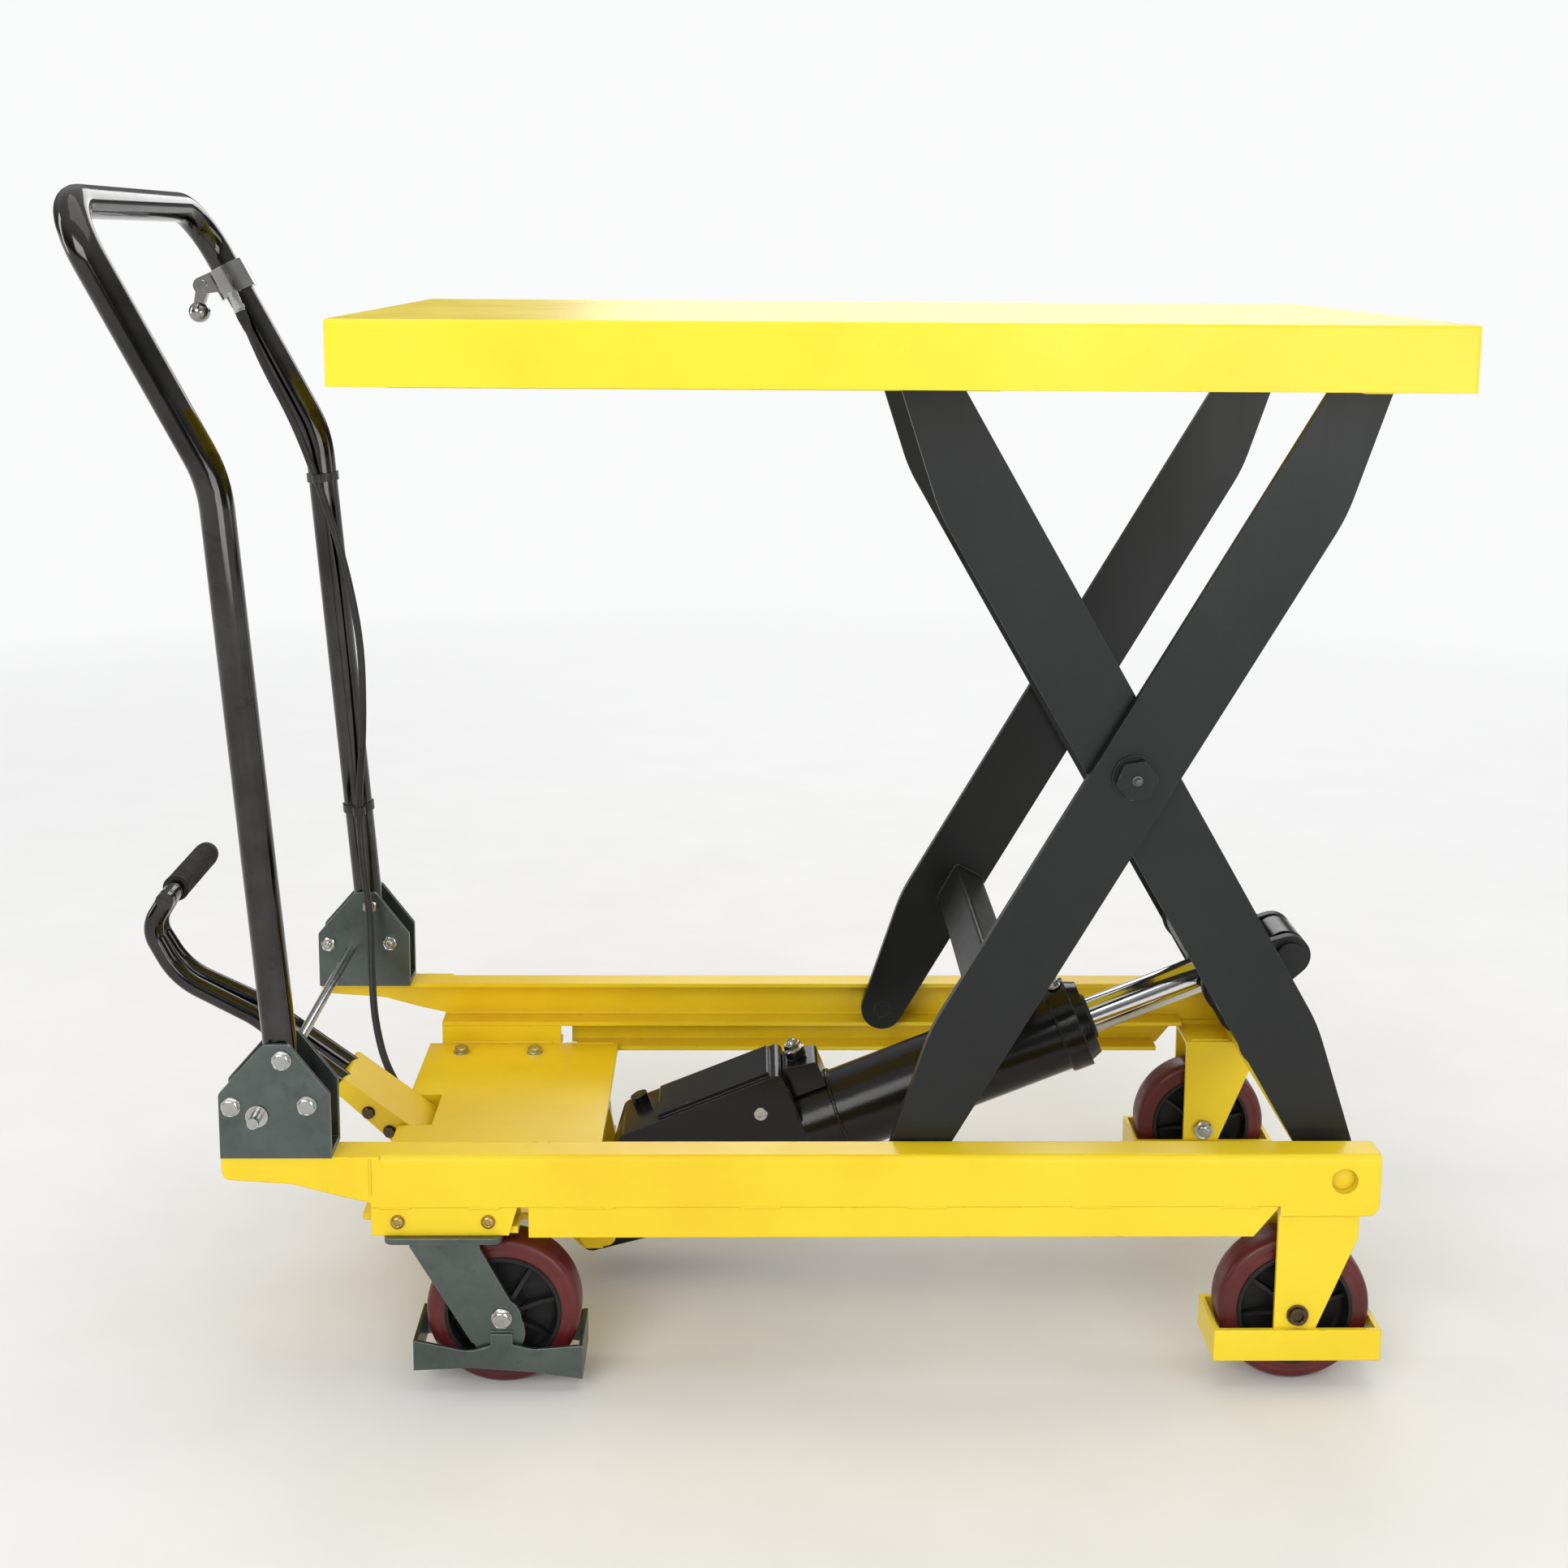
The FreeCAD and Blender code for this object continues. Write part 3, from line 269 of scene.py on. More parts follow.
def plated(name, dark, light, rough, streak=(1, 1, 1), stain=0.3, spangle=0.0, metal=1.0, bump=0.05, painted_edge_highlight=0.0, rad=0.0):
    k = Net(name)
    c = k.ramp(k.noise(14, 5, 0.6), [(0.32, dark), (0.7, light)])
    if spangle:
        cell = k.voronoi(85, out="Color")
        s = k.n("ShaderNodeSeparateColor")
        k.link(cell, s.inputs[0])
        c = k.mix(k.math("MULTIPLY", s.outputs[0], spangle), c, tuple(min(1, x * 1.55) for x in light))
    spots = k.math("MULTIPLY", k.rng(k.noise(70, 5, 0.72), 0.56, 0.68), stain)
    c = k.mix(spots, c, tuple(x * 0.42 for x in dark))
    # painted highlight: edges lighter than the plating
    if painted_edge_highlight:
        e = k.edge(0.0016, 0.03, 0.2)
        c = k.mix(k.math("MULTIPLY", e, painted_edge_highlight), c, tuple(min(1, x * 1.9 + 0.08) for x in light))
    v = k.mapped(streak)
    r = k.rng(k.noise(60, 5, 0.65, v), 0.3, 0.7, *rough)
    k.link(c, k.b.inputs["Base Color"])
    k.link(r, k.b.inputs["Roughness"])
    k.link(k.bump(k.noise(380, 3, 0.55, v), bump, 0.0004, k.round(rad) if rad else None), k.b.inputs["Normal"])
    k.set(Metallic=metal, Specular_IOR_Level=0.5)
    return k.m


M["handle_chrome"] = plated("plating_dark_chrome", (0.038, 0.037, 0.035), (0.072, 0.070, 0.067), (0.06, 0.15),
                            streak=(1, 1, 0.12), stain=0.35, bump=0.03)
M["zinc"] = plated("plating_grey_green", (0.080, 0.098, 0.094), (0.125, 0.148, 0.142), (0.26, 0.42),
                   stain=0.25, spangle=0.10, metal=0.85, bump=0.08, painted_edge_highlight=0.55, rad=0.0012)
M["bright_steel"] = plated("plating_bright_zinc", (0.36, 0.36, 0.345), (0.52, 0.52, 0.50), (0.14, 0.28),
                           stain=0.30, bump=0.04, painted_edge_highlight=0.35)
M["bolt_dark"] = plated("bolt_oiled_dark", (0.07, 0.045, 0.025), (0.14, 0.10, 0.06), (0.25, 0.4), stain=0.4,
                        bump=0.08, painted_edge_highlight=0.3)
M["bolt_brass"] = plated("bolt_yellow_passivated", (0.40, 0.27, 0.07), (0.55, 0.40, 0.13), (0.28, 0.42), stain=0.4,
                         bump=0.08, painted_edge_highlight=0.3)
M["lever_chrome"] = plated("plating_lever_chrome", (0.24, 0.235, 0.23), (0.36, 0.355, 0.35), (0.08, 0.18),
                           stain=0.2, bump=0.02, painted_edge_highlight=0.3)
M["rod_chrome"] = plated("hard_chrome", (0.55, 0.55, 0.56), (0.68, 0.68, 0.69), (0.05, 0.13), stain=0.08, bump=0.02)
M["bronze"] = plated("sintered_bronze", (0.34, 0.21, 0.085), (0.50, 0.34, 0.15), (0.3, 0.5), stain=0.5, bump=0.2)
M["roller_steel"] = plated("turned_steel", (0.36, 0.36, 0.35), (0.52, 0.52, 0.51), (0.22, 0.38), stain=0.4, bump=0.12)


def soft(name, dark, light, rough, grain=900, bump=0.2, dust=0.2, spec=0.4, dusty=(0.2, 0.18, 0.16), sub=0.0):
    k = Net(name)
    c = k.ramp(k.noise(18, 5, 0.6), [(0.34, dark), (0.68, light)])
    d = k.rng(k.noise(40, 6, 0.72), 0.5, 0.78, 0, dust)
    c = k.mix(d, c, dusty)
    k.link(c, k.b.inputs["Base Color"])
    k.link(k.rng(k.noise(50, 5, 0.65), 0.3, 0.7, *rough), k.b.inputs["Roughness"])
    h = k.bump(k.noise(grain, 3, 0.6), bump, 0.0005)
    k.link(k.bump(k.noise(60, 3, 0.5), bump * 0.4, 0.001, h), k.b.inputs["Normal"])
    k.set(Specular_IOR_Level=spec)
    if sub:
        k.set(Subsurface_Weight=sub, Subsurface_Scale=0.004)
    return k.m


M["wheel_red"] = soft("polyurethane_red", (0.070, 0.004, 0.005), (0.120, 0.009, 0.009), (0.28, 0.5), 500, 0.12, 0.08,
                      0.5, (0.24, 0.13, 0.11), 0.15)
M["hub_black"] = soft("cast_hub_black", (0.0055, 0.0055, 0.006), (0.012, 0.012, 0.0125), (0.38, 0.6), 1100, 0.4, 0.06, 0.3)
M["grip_rubber"] = soft("grip_rubber", (0.010, 0.010, 0.010), (0.022, 0.022, 0.021), (0.55, 0.8), 1400, 0.35, 0.12)
M["cable_black"] = soft("cable_sleeve", (0.008, 0.008, 0.009), (0.017, 0.017, 0.018), (0.32, 0.5), 1200, 0.12, 0.10)
M["tie_black"] = soft("tie_nylon", (0.012, 0.012, 0.012), (0.025, 0.025, 0.025), (0.3, 0.45), 1200, 0.1, 0.08)

# ------------------------------------------------------- CAD nodes: finish
TABLE_NODES = {"table_top", "table_tracks", "table_pivot_brackets"}
for r in frame["record"]["subparts"]:
    n, s = r["node"], r["material_slot"]
    o = NODES[n]
    o.data.materials.clear()
    o.data.materials.append(M["yellow_table"] if n in TABLE_NODES else M["lever_chrome"] if n.startswith("release_") and s == "bright_steel" else M[s])
    if "custom_normal" in o.data.attributes:
        o.data.attributes.remove(o.data.attributes["custom_normal"])
    o.data.shade_smooth()
    w = o.modifiers.new("weld", "WELD")
    w.merge_threshold = 0.000012
    es = o.modifiers.new("split", "EDGE_SPLIT")
    es.split_angle = math.radians(36)
    wn = o.modifiers.new("normals", "WEIGHTED_NORMAL")
    wn.keep_sharp = True


# ---------------------------------------------------------------- mesh help
def make(name, verts, faces, mat, body, slot=None, bevel=0.0, angle=36, smooth=True, repl=()):
    me = bpy.data.meshes.new(name)
    me.from_pydata([tuple(v) for v in verts], [], faces)
    bm = bmesh.new()
    bm.from_mesh(me)
    bmesh.ops.remove_doubles(bm, verts=bm.verts, dist=1e-6)
    bmesh.ops.recalc_face_normals(bm, faces=bm.faces)
    bm.to_mesh(me)
    bm.free()
    o = bpy.data.objects.new(name, me)
    COL.objects.link(o)
    me.materials.append(mat if not isinstance(mat, str) else M[mat])
    if smooth:
        me.shade_smooth()
    if bevel:
        b = o.modifiers.new("edges", "BEVEL")
        b.width, b.segments, b.limit_method, b.angle_limit = bevel, 2, "ANGLE", math.radians(angle)
        b.use_clamp_overlap = True
    if smooth:
        es = o.modifiers.new("split", "EDGE_SPLIT")
        es.split_angle = math.radians(angle)
        wn = o.modifiers.new("normals", "WEIGHTED_NORMAL")
        wn.keep_sharp = True
    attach(o, body)
    for n in repl:
        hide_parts(n)
    return o


class Geo:
    """Collects vertices and faces of many small shapes into one piece."""

    def __init__(self):
        self.v, self.f = [], []

    def add(self, verts, faces):
        k = len(self.v)
        self.v += [Vector(p) for p in verts]
        self.f += [tuple(i + k for i in f) for f in faces]
        return self

    def make(self, name, mat, body, **kw):
        return make(name, self.v, self.f, mat, body, **kw)


def basis(axis, up=None):
    """Two unit vectors across axis."""
    a = Vector(axis).normalized()
    u = Vector(up) if up is not None else (Vector((0, 0, 1)) if abs(a.z) < 0.9 else Vector((1, 0, 0)))
    u = (u - a * u.dot(a)).normalized()
    return a, u, a.cross(u)


def rings(rs, closed_u=True, cap0=True, cap1=True, wrap=False):
    """Faces between equal rings of points."""
    n = len(rs[0])
    v = [p for r in rs for p in r]
    f = []
    m = len(rs)
    for i in range(m if wrap else m - 1):
        a, b = i * n, ((i + 1) % m) * n
        for j in range(n if closed_u else n - 1):
            k = (j + 1) % n
            f.append((a + j, a + k, b + k, b + j))
    if not wrap:
        if cap0:
            f.append(tuple(range(n))[::-1])
        if cap1:
            f.append(tuple((m - 1) * n + j for j in range(n)))
    return v, f


def lathe(g, profile, centre, axis, seg=48, wrap=False, up=None):
    """profile: (radius, distance along axis) points, turned about axis."""
    a, u, w = basis(axis, up)
    c = Vector(centre)
    rs = []
    for r, h in profile:
        r = max(r, 1e-5)
        rs.append([c + a * h + (u * math.cos(t) + w * math.sin(t)) * r
                   for t in (2 * math.pi * j / seg for j in range(seg))])
    g.add(*rings(rs, wrap=wrap, cap0=not wrap, cap1=not wrap))
    return g


def prism(g, pts, axis, depth, centre=(0, 0, 0)):
    """A flat outline (list of 3-D points) pushed along axis."""
    d = Vector(axis).normalized() * depth
    a = [Vector(p) + Vector(centre) for p in pts]
    g.add(*rings([a, [p + d for p in a]]))
    return g


def block(g, lo, hi):
    (x0, y0, z0), (x1, y1, z1) = lo, hi
    return prism(g, [(x0, y0, z0), (x1, y0, z0), (x1, y1, z0), (x0, y1, z0)], (0, 0, 1), z1 - z0)


def hexhead(g, pos, axis, af, h, turn=0.0, washer=0.0, wt=0.0016, dome=0.0, mark=True):
    """Hexagon head with the chamfer that real ones have. af is the distance across flats."""
    a, u, w = basis(axis)
    p = Vector(pos)
    if washer:
        lathe(g, [(washer - 0.0004, 0), (washer, 0.0004), (washer, wt - 0.0004), (washer - 0.0005, wt),
                  (af * 0.45, wt)], p, a, 36)
        p = p + a * wt
    ap, seg = af / 2, 36
    lo, mid, top, inn = [], [], [], []
    for j in range(seg):
        t = 2 * math.pi * j / seg + turn
        s = ((2 * math.pi * j / seg) % (math.pi / 3)) - math.pi / 6
        rho = ap / math.cos(s)
        d = u * math.cos(t) + w * math.sin(t)
        z = h - max(0.0, (rho - ap * 0.93)) * 0.55
        lo.append(p + d * rho)
        mid.append(p + d * rho + a * z)
        top.append(p + d * ap * 0.93 + a * h)
        inn.append(p + d * ap * 0.80 + a * (h - (0.0004 if mark else 0)))
    g.add(*rings([lo, mid, top, inn]))
    return g


def nut(g, pos, axis, af, h, stud, out, washer=0.0, turn=0.3, wt=0.0016):
    hexhead(g, pos, axis, af, h, turn, washer, wt)
    a = Vector(axis).normalized()
    p = Vector(pos) + a * ((wt if washer else 0) + h - 0.0006)
    pr, k = [], 0.0
    while k < out:                                     # thread crests
        pr += [(stud * 0.90, k), (stud, k + 0.0005)]
        k += 0.0011
    pr += [(stud * 0.88, k), (stud * 0.55, k + 0.0006)]
    lathe(g, pr, p, a, 24)
    return g


def sweep(g, pts, radius, seg=16, caps=True, closed=False, flat=1.0, up=None):
    """Round tube along points; radius may be a function of the share 0..1."""
    P = [Vector(p) for p in pts]
    n = len(P)
    tan = []
    for i in range(n):
        if closed:
            d = P[(i + 1) % n] - P[i - 1]
        else:
            d = P[min(i + 1, n - 1)] - P[max(i - 1, 0)]
        tan.append(d.normalized())
    a, u, w = basis(tan[0], up)
    rs = []
    for i in range(n):
        u = (u - tan[i] * u.dot(tan[i])).normalized()
        w = tan[i].cross(u)
        r = radius(i / max(1, n - 1)) if callable(radius) else radius
        rs.append([P[i] + (u * math.cos(t) * flat + w * math.sin(t)) * r
                   for t in (2 * math.pi * j / seg for j in range(seg))])
    g.add(*rings(rs, wrap=closed, cap0=caps and not closed, cap1=caps and not closed))
    return g


def bead(g, a, b, r=0.0022, pitch=0.0032, wob=0.00035, seed=1):
    """A weld bead from a to b, half sunk in the corner, with its ripple."""
    a, b = Vector(a), Vector(b)
    L = (b - a).length
    n = max(6, int(L / pitch * 4))
    pts, rad = [], []
    for i in range(n + 1):
        s = i / n
        q = a + (b - a) * s
        q = q + Vector((noise.noise(q * 160 + Vector((seed, 0, 0))), noise.noise(q * 160 + Vector((0, seed, 0))),
                        noise.noise(q * 160 + Vector((0, 0, seed))))) * wob
        pts.append(q)
        ph = (s * L / pitch) % 1.0
        end = min(1.0, min(s, 1 - s) * L / (r * 1.2) + 0.35)
        rad.append(r * end * (0.90 + 0.13 * (1 - ph) + 0.07 * noise.noise(q * 300)))
    sweep(g, pts, lambda t: rad[int(round(t * n))], 10)
    return g


def ringbead(g, centre, axis, R, r=0.0022, pitch=0.0034, seed=3, arc=(0, 2 * math.pi)):
    a, u, w = basis(axis)
    c = Vector(centre)
    n = int(R * (arc[1] - arc[0]) / pitch * 4)
    full = abs(arc[1] - arc[0] - 2 * math.pi) < 1e-6
    pts, rad = [], []
    for i in range(n + (0 if full else 1)):
        t = arc[0] + (arc[1] - arc[0]) * i / n
        q = c + (u * math.cos(t) + w * math.sin(t)) * R
        pts.append(q + a * noise.noise(q * 160 + Vector((seed,) * 3)) * 0.0003)
        ph = ((t - arc[0]) * R / pitch) % 1.0
        rad.append(r * (0.90 + 0.14 * (1 - ph)))
    m = len(pts) - 1
    sweep(g, pts, lambda t: rad[int(round(t * m))], 8, closed=full)
    return g


# ------------------------------------------------------------------ camera
def look(loc, yaw, pitch, roll, lens, shift):
    f0 = Vector((math.sin(yaw), math.cos(yaw), 0))
    r0 = Vector((math.cos(yaw), -math.sin(yaw), 0))
    z = Vector((0, 0, 1))
    r = r0 * math.cos(roll) + z * math.sin(roll)
    u1 = z * math.cos(roll) - r0 * math.sin(roll)
    f = f0 * math.cos(pitch) - u1 * math.sin(pitch)
    u = u1 * math.cos(pitch) + f0 * math.sin(pitch)
    cam = bpy.data.cameras.new("camera")
    cam.lens, cam.sensor_width, cam.shift_y = lens, 36, shift
    cam.clip_start, cam.clip_end = 0.05, 100
    o = bpy.data.objects.new("camera", cam)
    COL.objects.link(o)
    o.matrix_world = Matrix(((r.x, u.x, -f.x, loc[0]), (r.y, u.y, -f.y, loc[1]), (r.z, u.z, -f.z, loc[2]),
                             (0, 0, 0, 1)))
    bpy.context.scene.camera = o


look((0.00064, -1.7254, 0.93598), 0.01649, 0.15317, 0.00691, 45.91, -0.15)

# ------------------------------------------------------------------- studio
bpy.context.scene.view_settings.view_transform = "Standard"
bpy.context.scene.view_settings.look = "None"
world = bpy.data.worlds.new("studio")
bpy.context.scene.world = world
world.use_nodes = True
wt = world.node_tree
wt.nodes.clear()
wo = wt.nodes.new("ShaderNodeOutputWorld")
wc = wt.nodes.new("ShaderNodeTexCoord")
ws = wt.nodes.new("ShaderNodeSeparateXYZ")
wt.links.new(wc.outputs["Generated"], ws.inputs[0])
wr = wt.nodes.new("ShaderNodeValToRGB")
el = wr.color_ramp.elements
el[0].position, el[0].color = 0.0, (0.60, 0.60, 0.60, 1)
el[1].position, el[1].color = 1.0, (0.95, 0.96, 0.97, 1)
for p, v in ((0.44, 0.55), (0.53, 0.16), (0.62, 0.20), (0.74, 0.62)):
    e_ = el.new(p)
    e_.color = (v, v, v * 1.01, 1)
wm = wt.nodes.new("ShaderNodeMath")
wm.operation = "MULTIPLY_ADD"
wm.inputs[1].default_value = 0.5
wm.inputs[2].default_value = 0.5
wt.links.new(ws.outputs[2], wm.inputs[0])
wt.links.new(wm.outputs[0], wr.inputs[0])
b1 = wt.nodes.new("ShaderNodeBackground")
wt.links.new(wr.outputs[0], b1.inputs[0])
b1.inputs[1].default_value = 0.85
b2 = wt.nodes.new("ShaderNodeBackground")
b2.inputs[0].default_value = (0.955, 0.957, 0.96, 1)
b2.inputs[1].default_value = 1.0
lp = wt.nodes.new("ShaderNodeLightPath")
mx = wt.nodes.new("ShaderNodeMixShader")
wt.links.new(lp.outputs["Is Camera Ray"], mx.inputs[0])
wt.links.new(b1.outputs[0], mx.inputs[1])
wt.links.new(b2.outputs[0], mx.inputs[2])
wt.links.new(mx.outputs[0], wo.inputs[0])


def area(name, loc, target, sx, sy, power, tint=(1, 1, 1)):
    d = bpy.data.lights.new(name, "AREA")
    d.shape, d.size, d.size_y, d.energy, d.color = "RECTANGLE", sx, sy, power, tint
    o = bpy.data.objects.new(name, d)
    COL.objects.link(o)
    o.location = loc
    o.rotation_mode = "QUATERNION"
    o.rotation_quaternion = (Vector(target) - Vector(loc)).to_track_quat("-Z", "Y")
    return o


area("key", (-1.5, -3.2, 2.1), (0.0, 0, 0.45), 2.2, 1.5, 54, (1.0, 0.99, 0.97))
area("fill", (1.6, -3.2, 0.9), (0.0, 0, 0.35), 2.2, 1.2, 31, (0.985, 0.992, 1.0))
area("top", (0.0, 0.1, 3.0), (0, 0, 0), 2.4, 2.0, 17, (1.0, 0.95, 0.87))
area("back", (0.6, 3.0, 2.0), (0, 0, 0.5), 2.2, 1.4, 26)
area("side_left", (-3.0, 0.2, 1.3), (0, 0, 0.5), 0.5, 1.8, 16)
area("side_right", (3.2, 0.4, 1.4), (0, 0, 0.5), 1.2, 1.6, 18)

fl = bpy.data.meshes.new("floor")
R0 = 30.0
fl.from_pydata([(-R0, -R0, -0.0004), (R0, -R0, -0.0004), (R0, R0, -0.0004), (-R0, R0, -0.0004)], [], [(0, 1, 2, 3)])
floor = bpy.data.objects.new("floor", fl)
COL.objects.link(floor)
k = Net("floor_pale")
k.link(k.ramp(k.noise(7, 6, 0.6), [(0.35, (0.80, 0.80, 0.80)), (0.7, (0.83, 0.83, 0.832))]), k.b.inputs["Base Color"])
k.set(Roughness=0.7, Specular_IOR_Level=0.2)
k.link(k.bump(k.noise(240, 3, 0.5), 0.05, 0.0005), k.b.inputs["Normal"])
dist = k.n("ShaderNodeVectorMath", operation="LENGTH")
k.link(k.pos, dist.inputs[0])
em = k.n("ShaderNodeEmission")
em.inputs["Color"].default_value = (0.955, 0.957, 0.96, 1)
ms = k.n("ShaderNodeMixShader")
k.link(k.rng(dist.outputs["Value"], 1.0, 3.4), ms.inputs[0])
k.link(k.b.outputs[0], ms.inputs[1])
k.link(em.outputs[0], ms.inputs[2])
k.link(ms.outputs[0], k.out.inputs[0])
fl.materials.append(k.m)

# ------------------------------------------------------------------ details
BODY = {n: b for b, ns in frame["record"]["behaviour"]["bodies"].items() for n in ns}
mm = 0.001
TH = math.radians(61.8)
FP, LO = (372.8, 182.0), (19.3, 182.0)


def inner(u, v, y):
    return T((FP[0] - u * math.cos(TH) + v * math.sin(TH)) * mm, y * mm, (FP[1] + u * math.sin(TH) + v * math.cos(TH)) * mm)


def outer(u, v, y):
    return T((LO[0] + u * math.cos(TH) - v * math.sin(TH)) * mm, y * mm, (LO[1] + u * math.sin(TH) + v * math.cos(TH)) * mm)


def P(x, y, z):
    return T(x * mm, y * mm, z * mm)


# wheels: moulded tread on a ribbed cast centre
for end, cx in (("front", 340.0), ("caster", -314.0)):
    for side, s in (("right", -1), ("left", 1)):
        ty, hb = f"{end}_tyre_{side}", f"{end}_hub_{side}"
        lo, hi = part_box(ty)
        c = (lo + hi) / 2
        g = Geo()
        half = [(47.9, 16.0), (52.5, 16.0), (53.2, 15.6), (54.6, 15.6), (55.3, 16.0), (58.2, 15.9), (60.6, 15.0),
                (62.3, 13.2), (63.1, 10.6), (63.42, 7.0), (63.5, 3.5), (63.5, 0.45)]
        prof = [(r, -h) for r, h in half] + [(63.35, 0.0)] + [(r, h) for r, h in half[::-1]]
        lathe(g, [(r * mm, h * mm) for r, h in prof], c, (0, 1, 0), 96, wrap=True)
        g.make(f"tread_{end}_{side}", "wheel_red", BODY[ty], slot="wheel_red", repl=(ty,), angle=50)
        g = Geo()
        hp = [(6.2, 20.2), (12.6, 20.2), (13.6, 19.6), (16.6, 9.0), (19.5, 5.4), (38.6, 4.6), (42.2, 6.6), (43.4, 9.5),
              (44.3, 17.3), (45.0, 18.0), (47.2, 18.0), (47.95, 17.3)]
        prof = [(r, -h) for r, h in hp] + [(r, h) for r, h in hp[::-1]]
        lathe(g, [(r * mm, h * mm) for r, h in prof], c, (0, 1, 0), 96, wrap=True)
        for i in range(8):
            a = 2 * math.pi * i / 8 + 0.2
            d = Vector((math.cos(a), 0, math.sin(a)))
            t = Vector((-math.sin(a), 0, math.cos(a)))
            for w in (-1, 1):
                q = [(14.2, 3.0), (43.6, 3.0), (43.4, 10.0), (30.0, 11.5), (14.6, 17.0)]
                pts = [c + d * r * mm + Vector((0, w * h * mm, 0)) - t * 1.7 * mm for r, h in q]
                prism(g, pts, t, 3.4 * mm)
        g.make(f"wheel_centre_{end}_{side}", "hub_black", BODY[hb], slot="hub_black", repl=(hb,), angle=40)
        g = Geo()
        for w in (-1, 1):
            lathe(g, [(6.25 * mm, w * 19.9 * mm), (6.25 * mm, w * 20.4 * mm), (7.6 * mm, w * 20.45 * mm),
                      (7.9 * mm, w * 20.2 * mm), (10.4 * mm, w * 20.2 * mm), (10.7 * mm, w * 20.4 * mm),
                      (11.6 * mm, w * 20.4 * mm), (11.6 * mm, w * 19.9 * mm)], c, (0, 1, 0), 48, wrap=True)
        g.make(f"bearing_{end}_{side}", "roller_steel", BODY[hb], slot="roller_steel")

# front axles: socket screws outside, hexagon nuts inside
g1, g2, g3, g4, g5 = Geo(), Geo(), Geo(), Geo(), Geo()
for s in (-1, 1):
    p = P(340, s * 200, 63.5)
    lathe(g1, [(8.6 * mm, 0), (9.0 * mm, 0.3 * mm), (9.0 * mm, 1.2 * mm), (8.4 * mm, 1.6 * mm), (7.3 * mm, 1.6 * mm),
               (7.3 * mm, 4.9 * mm), (6.7 * mm, 5.6 * mm), (4.6 * mm, 5.6 * mm), (4.1 * mm, 5.1 * mm),
               (4.0 * mm, 2.4 * mm), (1.0 * mm, 2.0 * mm)], p, (0, s, 0), 6 * 8)
    nut(g2, P(340, s * 150, 63.5), (0, -s, 0), 17 * mm, 6.0 * mm, 5.2 * mm, 1.6 * mm)
    lathe(g2, [(5.9 * mm, 0.4 * mm), (5.9 * mm, 49.6 * mm)], P(340, s * 150, 63.5), (0, s, 0), 24)
    for x in (-396.0, -324.0):
        for y in (154.0, 188.0):
            hexhead(g3, P(x, s * y, 142), (0, 0, 1), 13 * mm, 4.0 * mm, 0.35 * x, 8.0 * mm, 1.4 * mm)
            lathe(g3, [(3.9 * mm, -10.6 * mm), (3.9 * mm, 0.2 * mm)], P(x, s * y, 142), (0, 0, 1), 20)
    for x in (-396.8, -323.6):
        lathe(g4, [(5.8 * mm, 0.0), (5.8 * mm, 0.9 * mm), (5.3 * mm, 2.2 * mm), (4.2 * mm, 3.2 * mm), (3.0 * mm, 3.5 * mm),
                   (2.6 * mm, 3.3 * mm), (2.4 * mm, 1.6 * mm), (0.6 * mm, 1.4 * mm)], P(x, s * 203, 148), (0, s, 0), 36)
        lathe(g4, [(3.4 * mm, -5.8 * mm), (3.4 * mm, 0.1 * mm)], P(x, s * 203, 148), (0, s, 0), 20)
g1.make("front_axle_screws", "bolt_dark", "chassis", slot="bright_steel", repl=("chassis_bolts",))
g2.make("front_axle_nuts", "bright_steel", "chassis", slot="bright_steel")
g3.make("caster_plate_bolts", "bright_steel", "chassis", slot="bright_steel")
g4.make("side_strip_screws", "bolt_brass", "chassis", slot="bright_steel")

# handle bracket bolts with washers outside and lock nuts inside
g = Geo()
for s in (-1, 1):
    for i, (x, z) in enumerate(((-485.5, 287.0), (-527.0, 248.0), (-466.5, 249.0))):
        hexhead(g, P(x, s * 206, z), (0, s, 0), 12.5 * mm, 3.7 * mm, 0.4 + i, 8.0 * mm, 1.4 * mm)
        nut(g, P(x, s * 170, z), (0, -s, 0), 12.5 * mm, 4.4 * mm, 3.6 * mm, 1.4 * mm, turn=0.2 * i)
        lathe(g, [(3.8 * mm, 0.2 * mm), (3.8 * mm, 35.8 * mm)], P(x, s * 170, z), (0, s, 0), 20)
g.make("bracket_hex_bolts", "bright_steel", BODY["bracket_bolts"], slot="bright_steel", repl=("bracket_bolts",))

# caster axles
for side, s in (("right", -1), ("left", 1)):
    n = "caster_axle_" + side
    lo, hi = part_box(n)
    c = (lo + hi) / 2
    g = Geo()
    hexhead(g, c + Vector((0, s * 25.5 * mm, 0)), (0, s, 0), 13 * mm, 4.0 * mm, 0.5, 8.5 * mm, 1.4 * mm)
    nut(g, c - Vector((0, s * 25.5 * mm, 0)), (0, -s, 0), 13 * mm, 3.2 * mm, 4.0 * mm, 0.6 * mm, 8.5 * mm, 0.1, 1.2 * mm)
    lathe(g, [(5.9 * mm, -25.6 * mm), (5.9 * mm, 25.6 * mm)], c, (0, 1, 0), 28)
    g.make("caster_axle_bolt_" + side, "bright_steel", BODY[n], slot="bright_steel", repl=(n,))
    # crimped ball race under the fork plate
    g = Geo()
    q = P(-360, s * 177, 126.0)
    lathe(g, [(12.6 * mm, 0.05 * mm), (12.6 * mm, -1.4 * mm), (11.6 * mm, -3.0 * mm), (9.0 * mm, -3.6 * mm),
              (9.0 * mm, 0.05 * mm)], q, (0, 0, 1), 40)
    g.make("swivel_race_" + side, "zinc", BODY["caster_fork_" + side], slot="zinc")

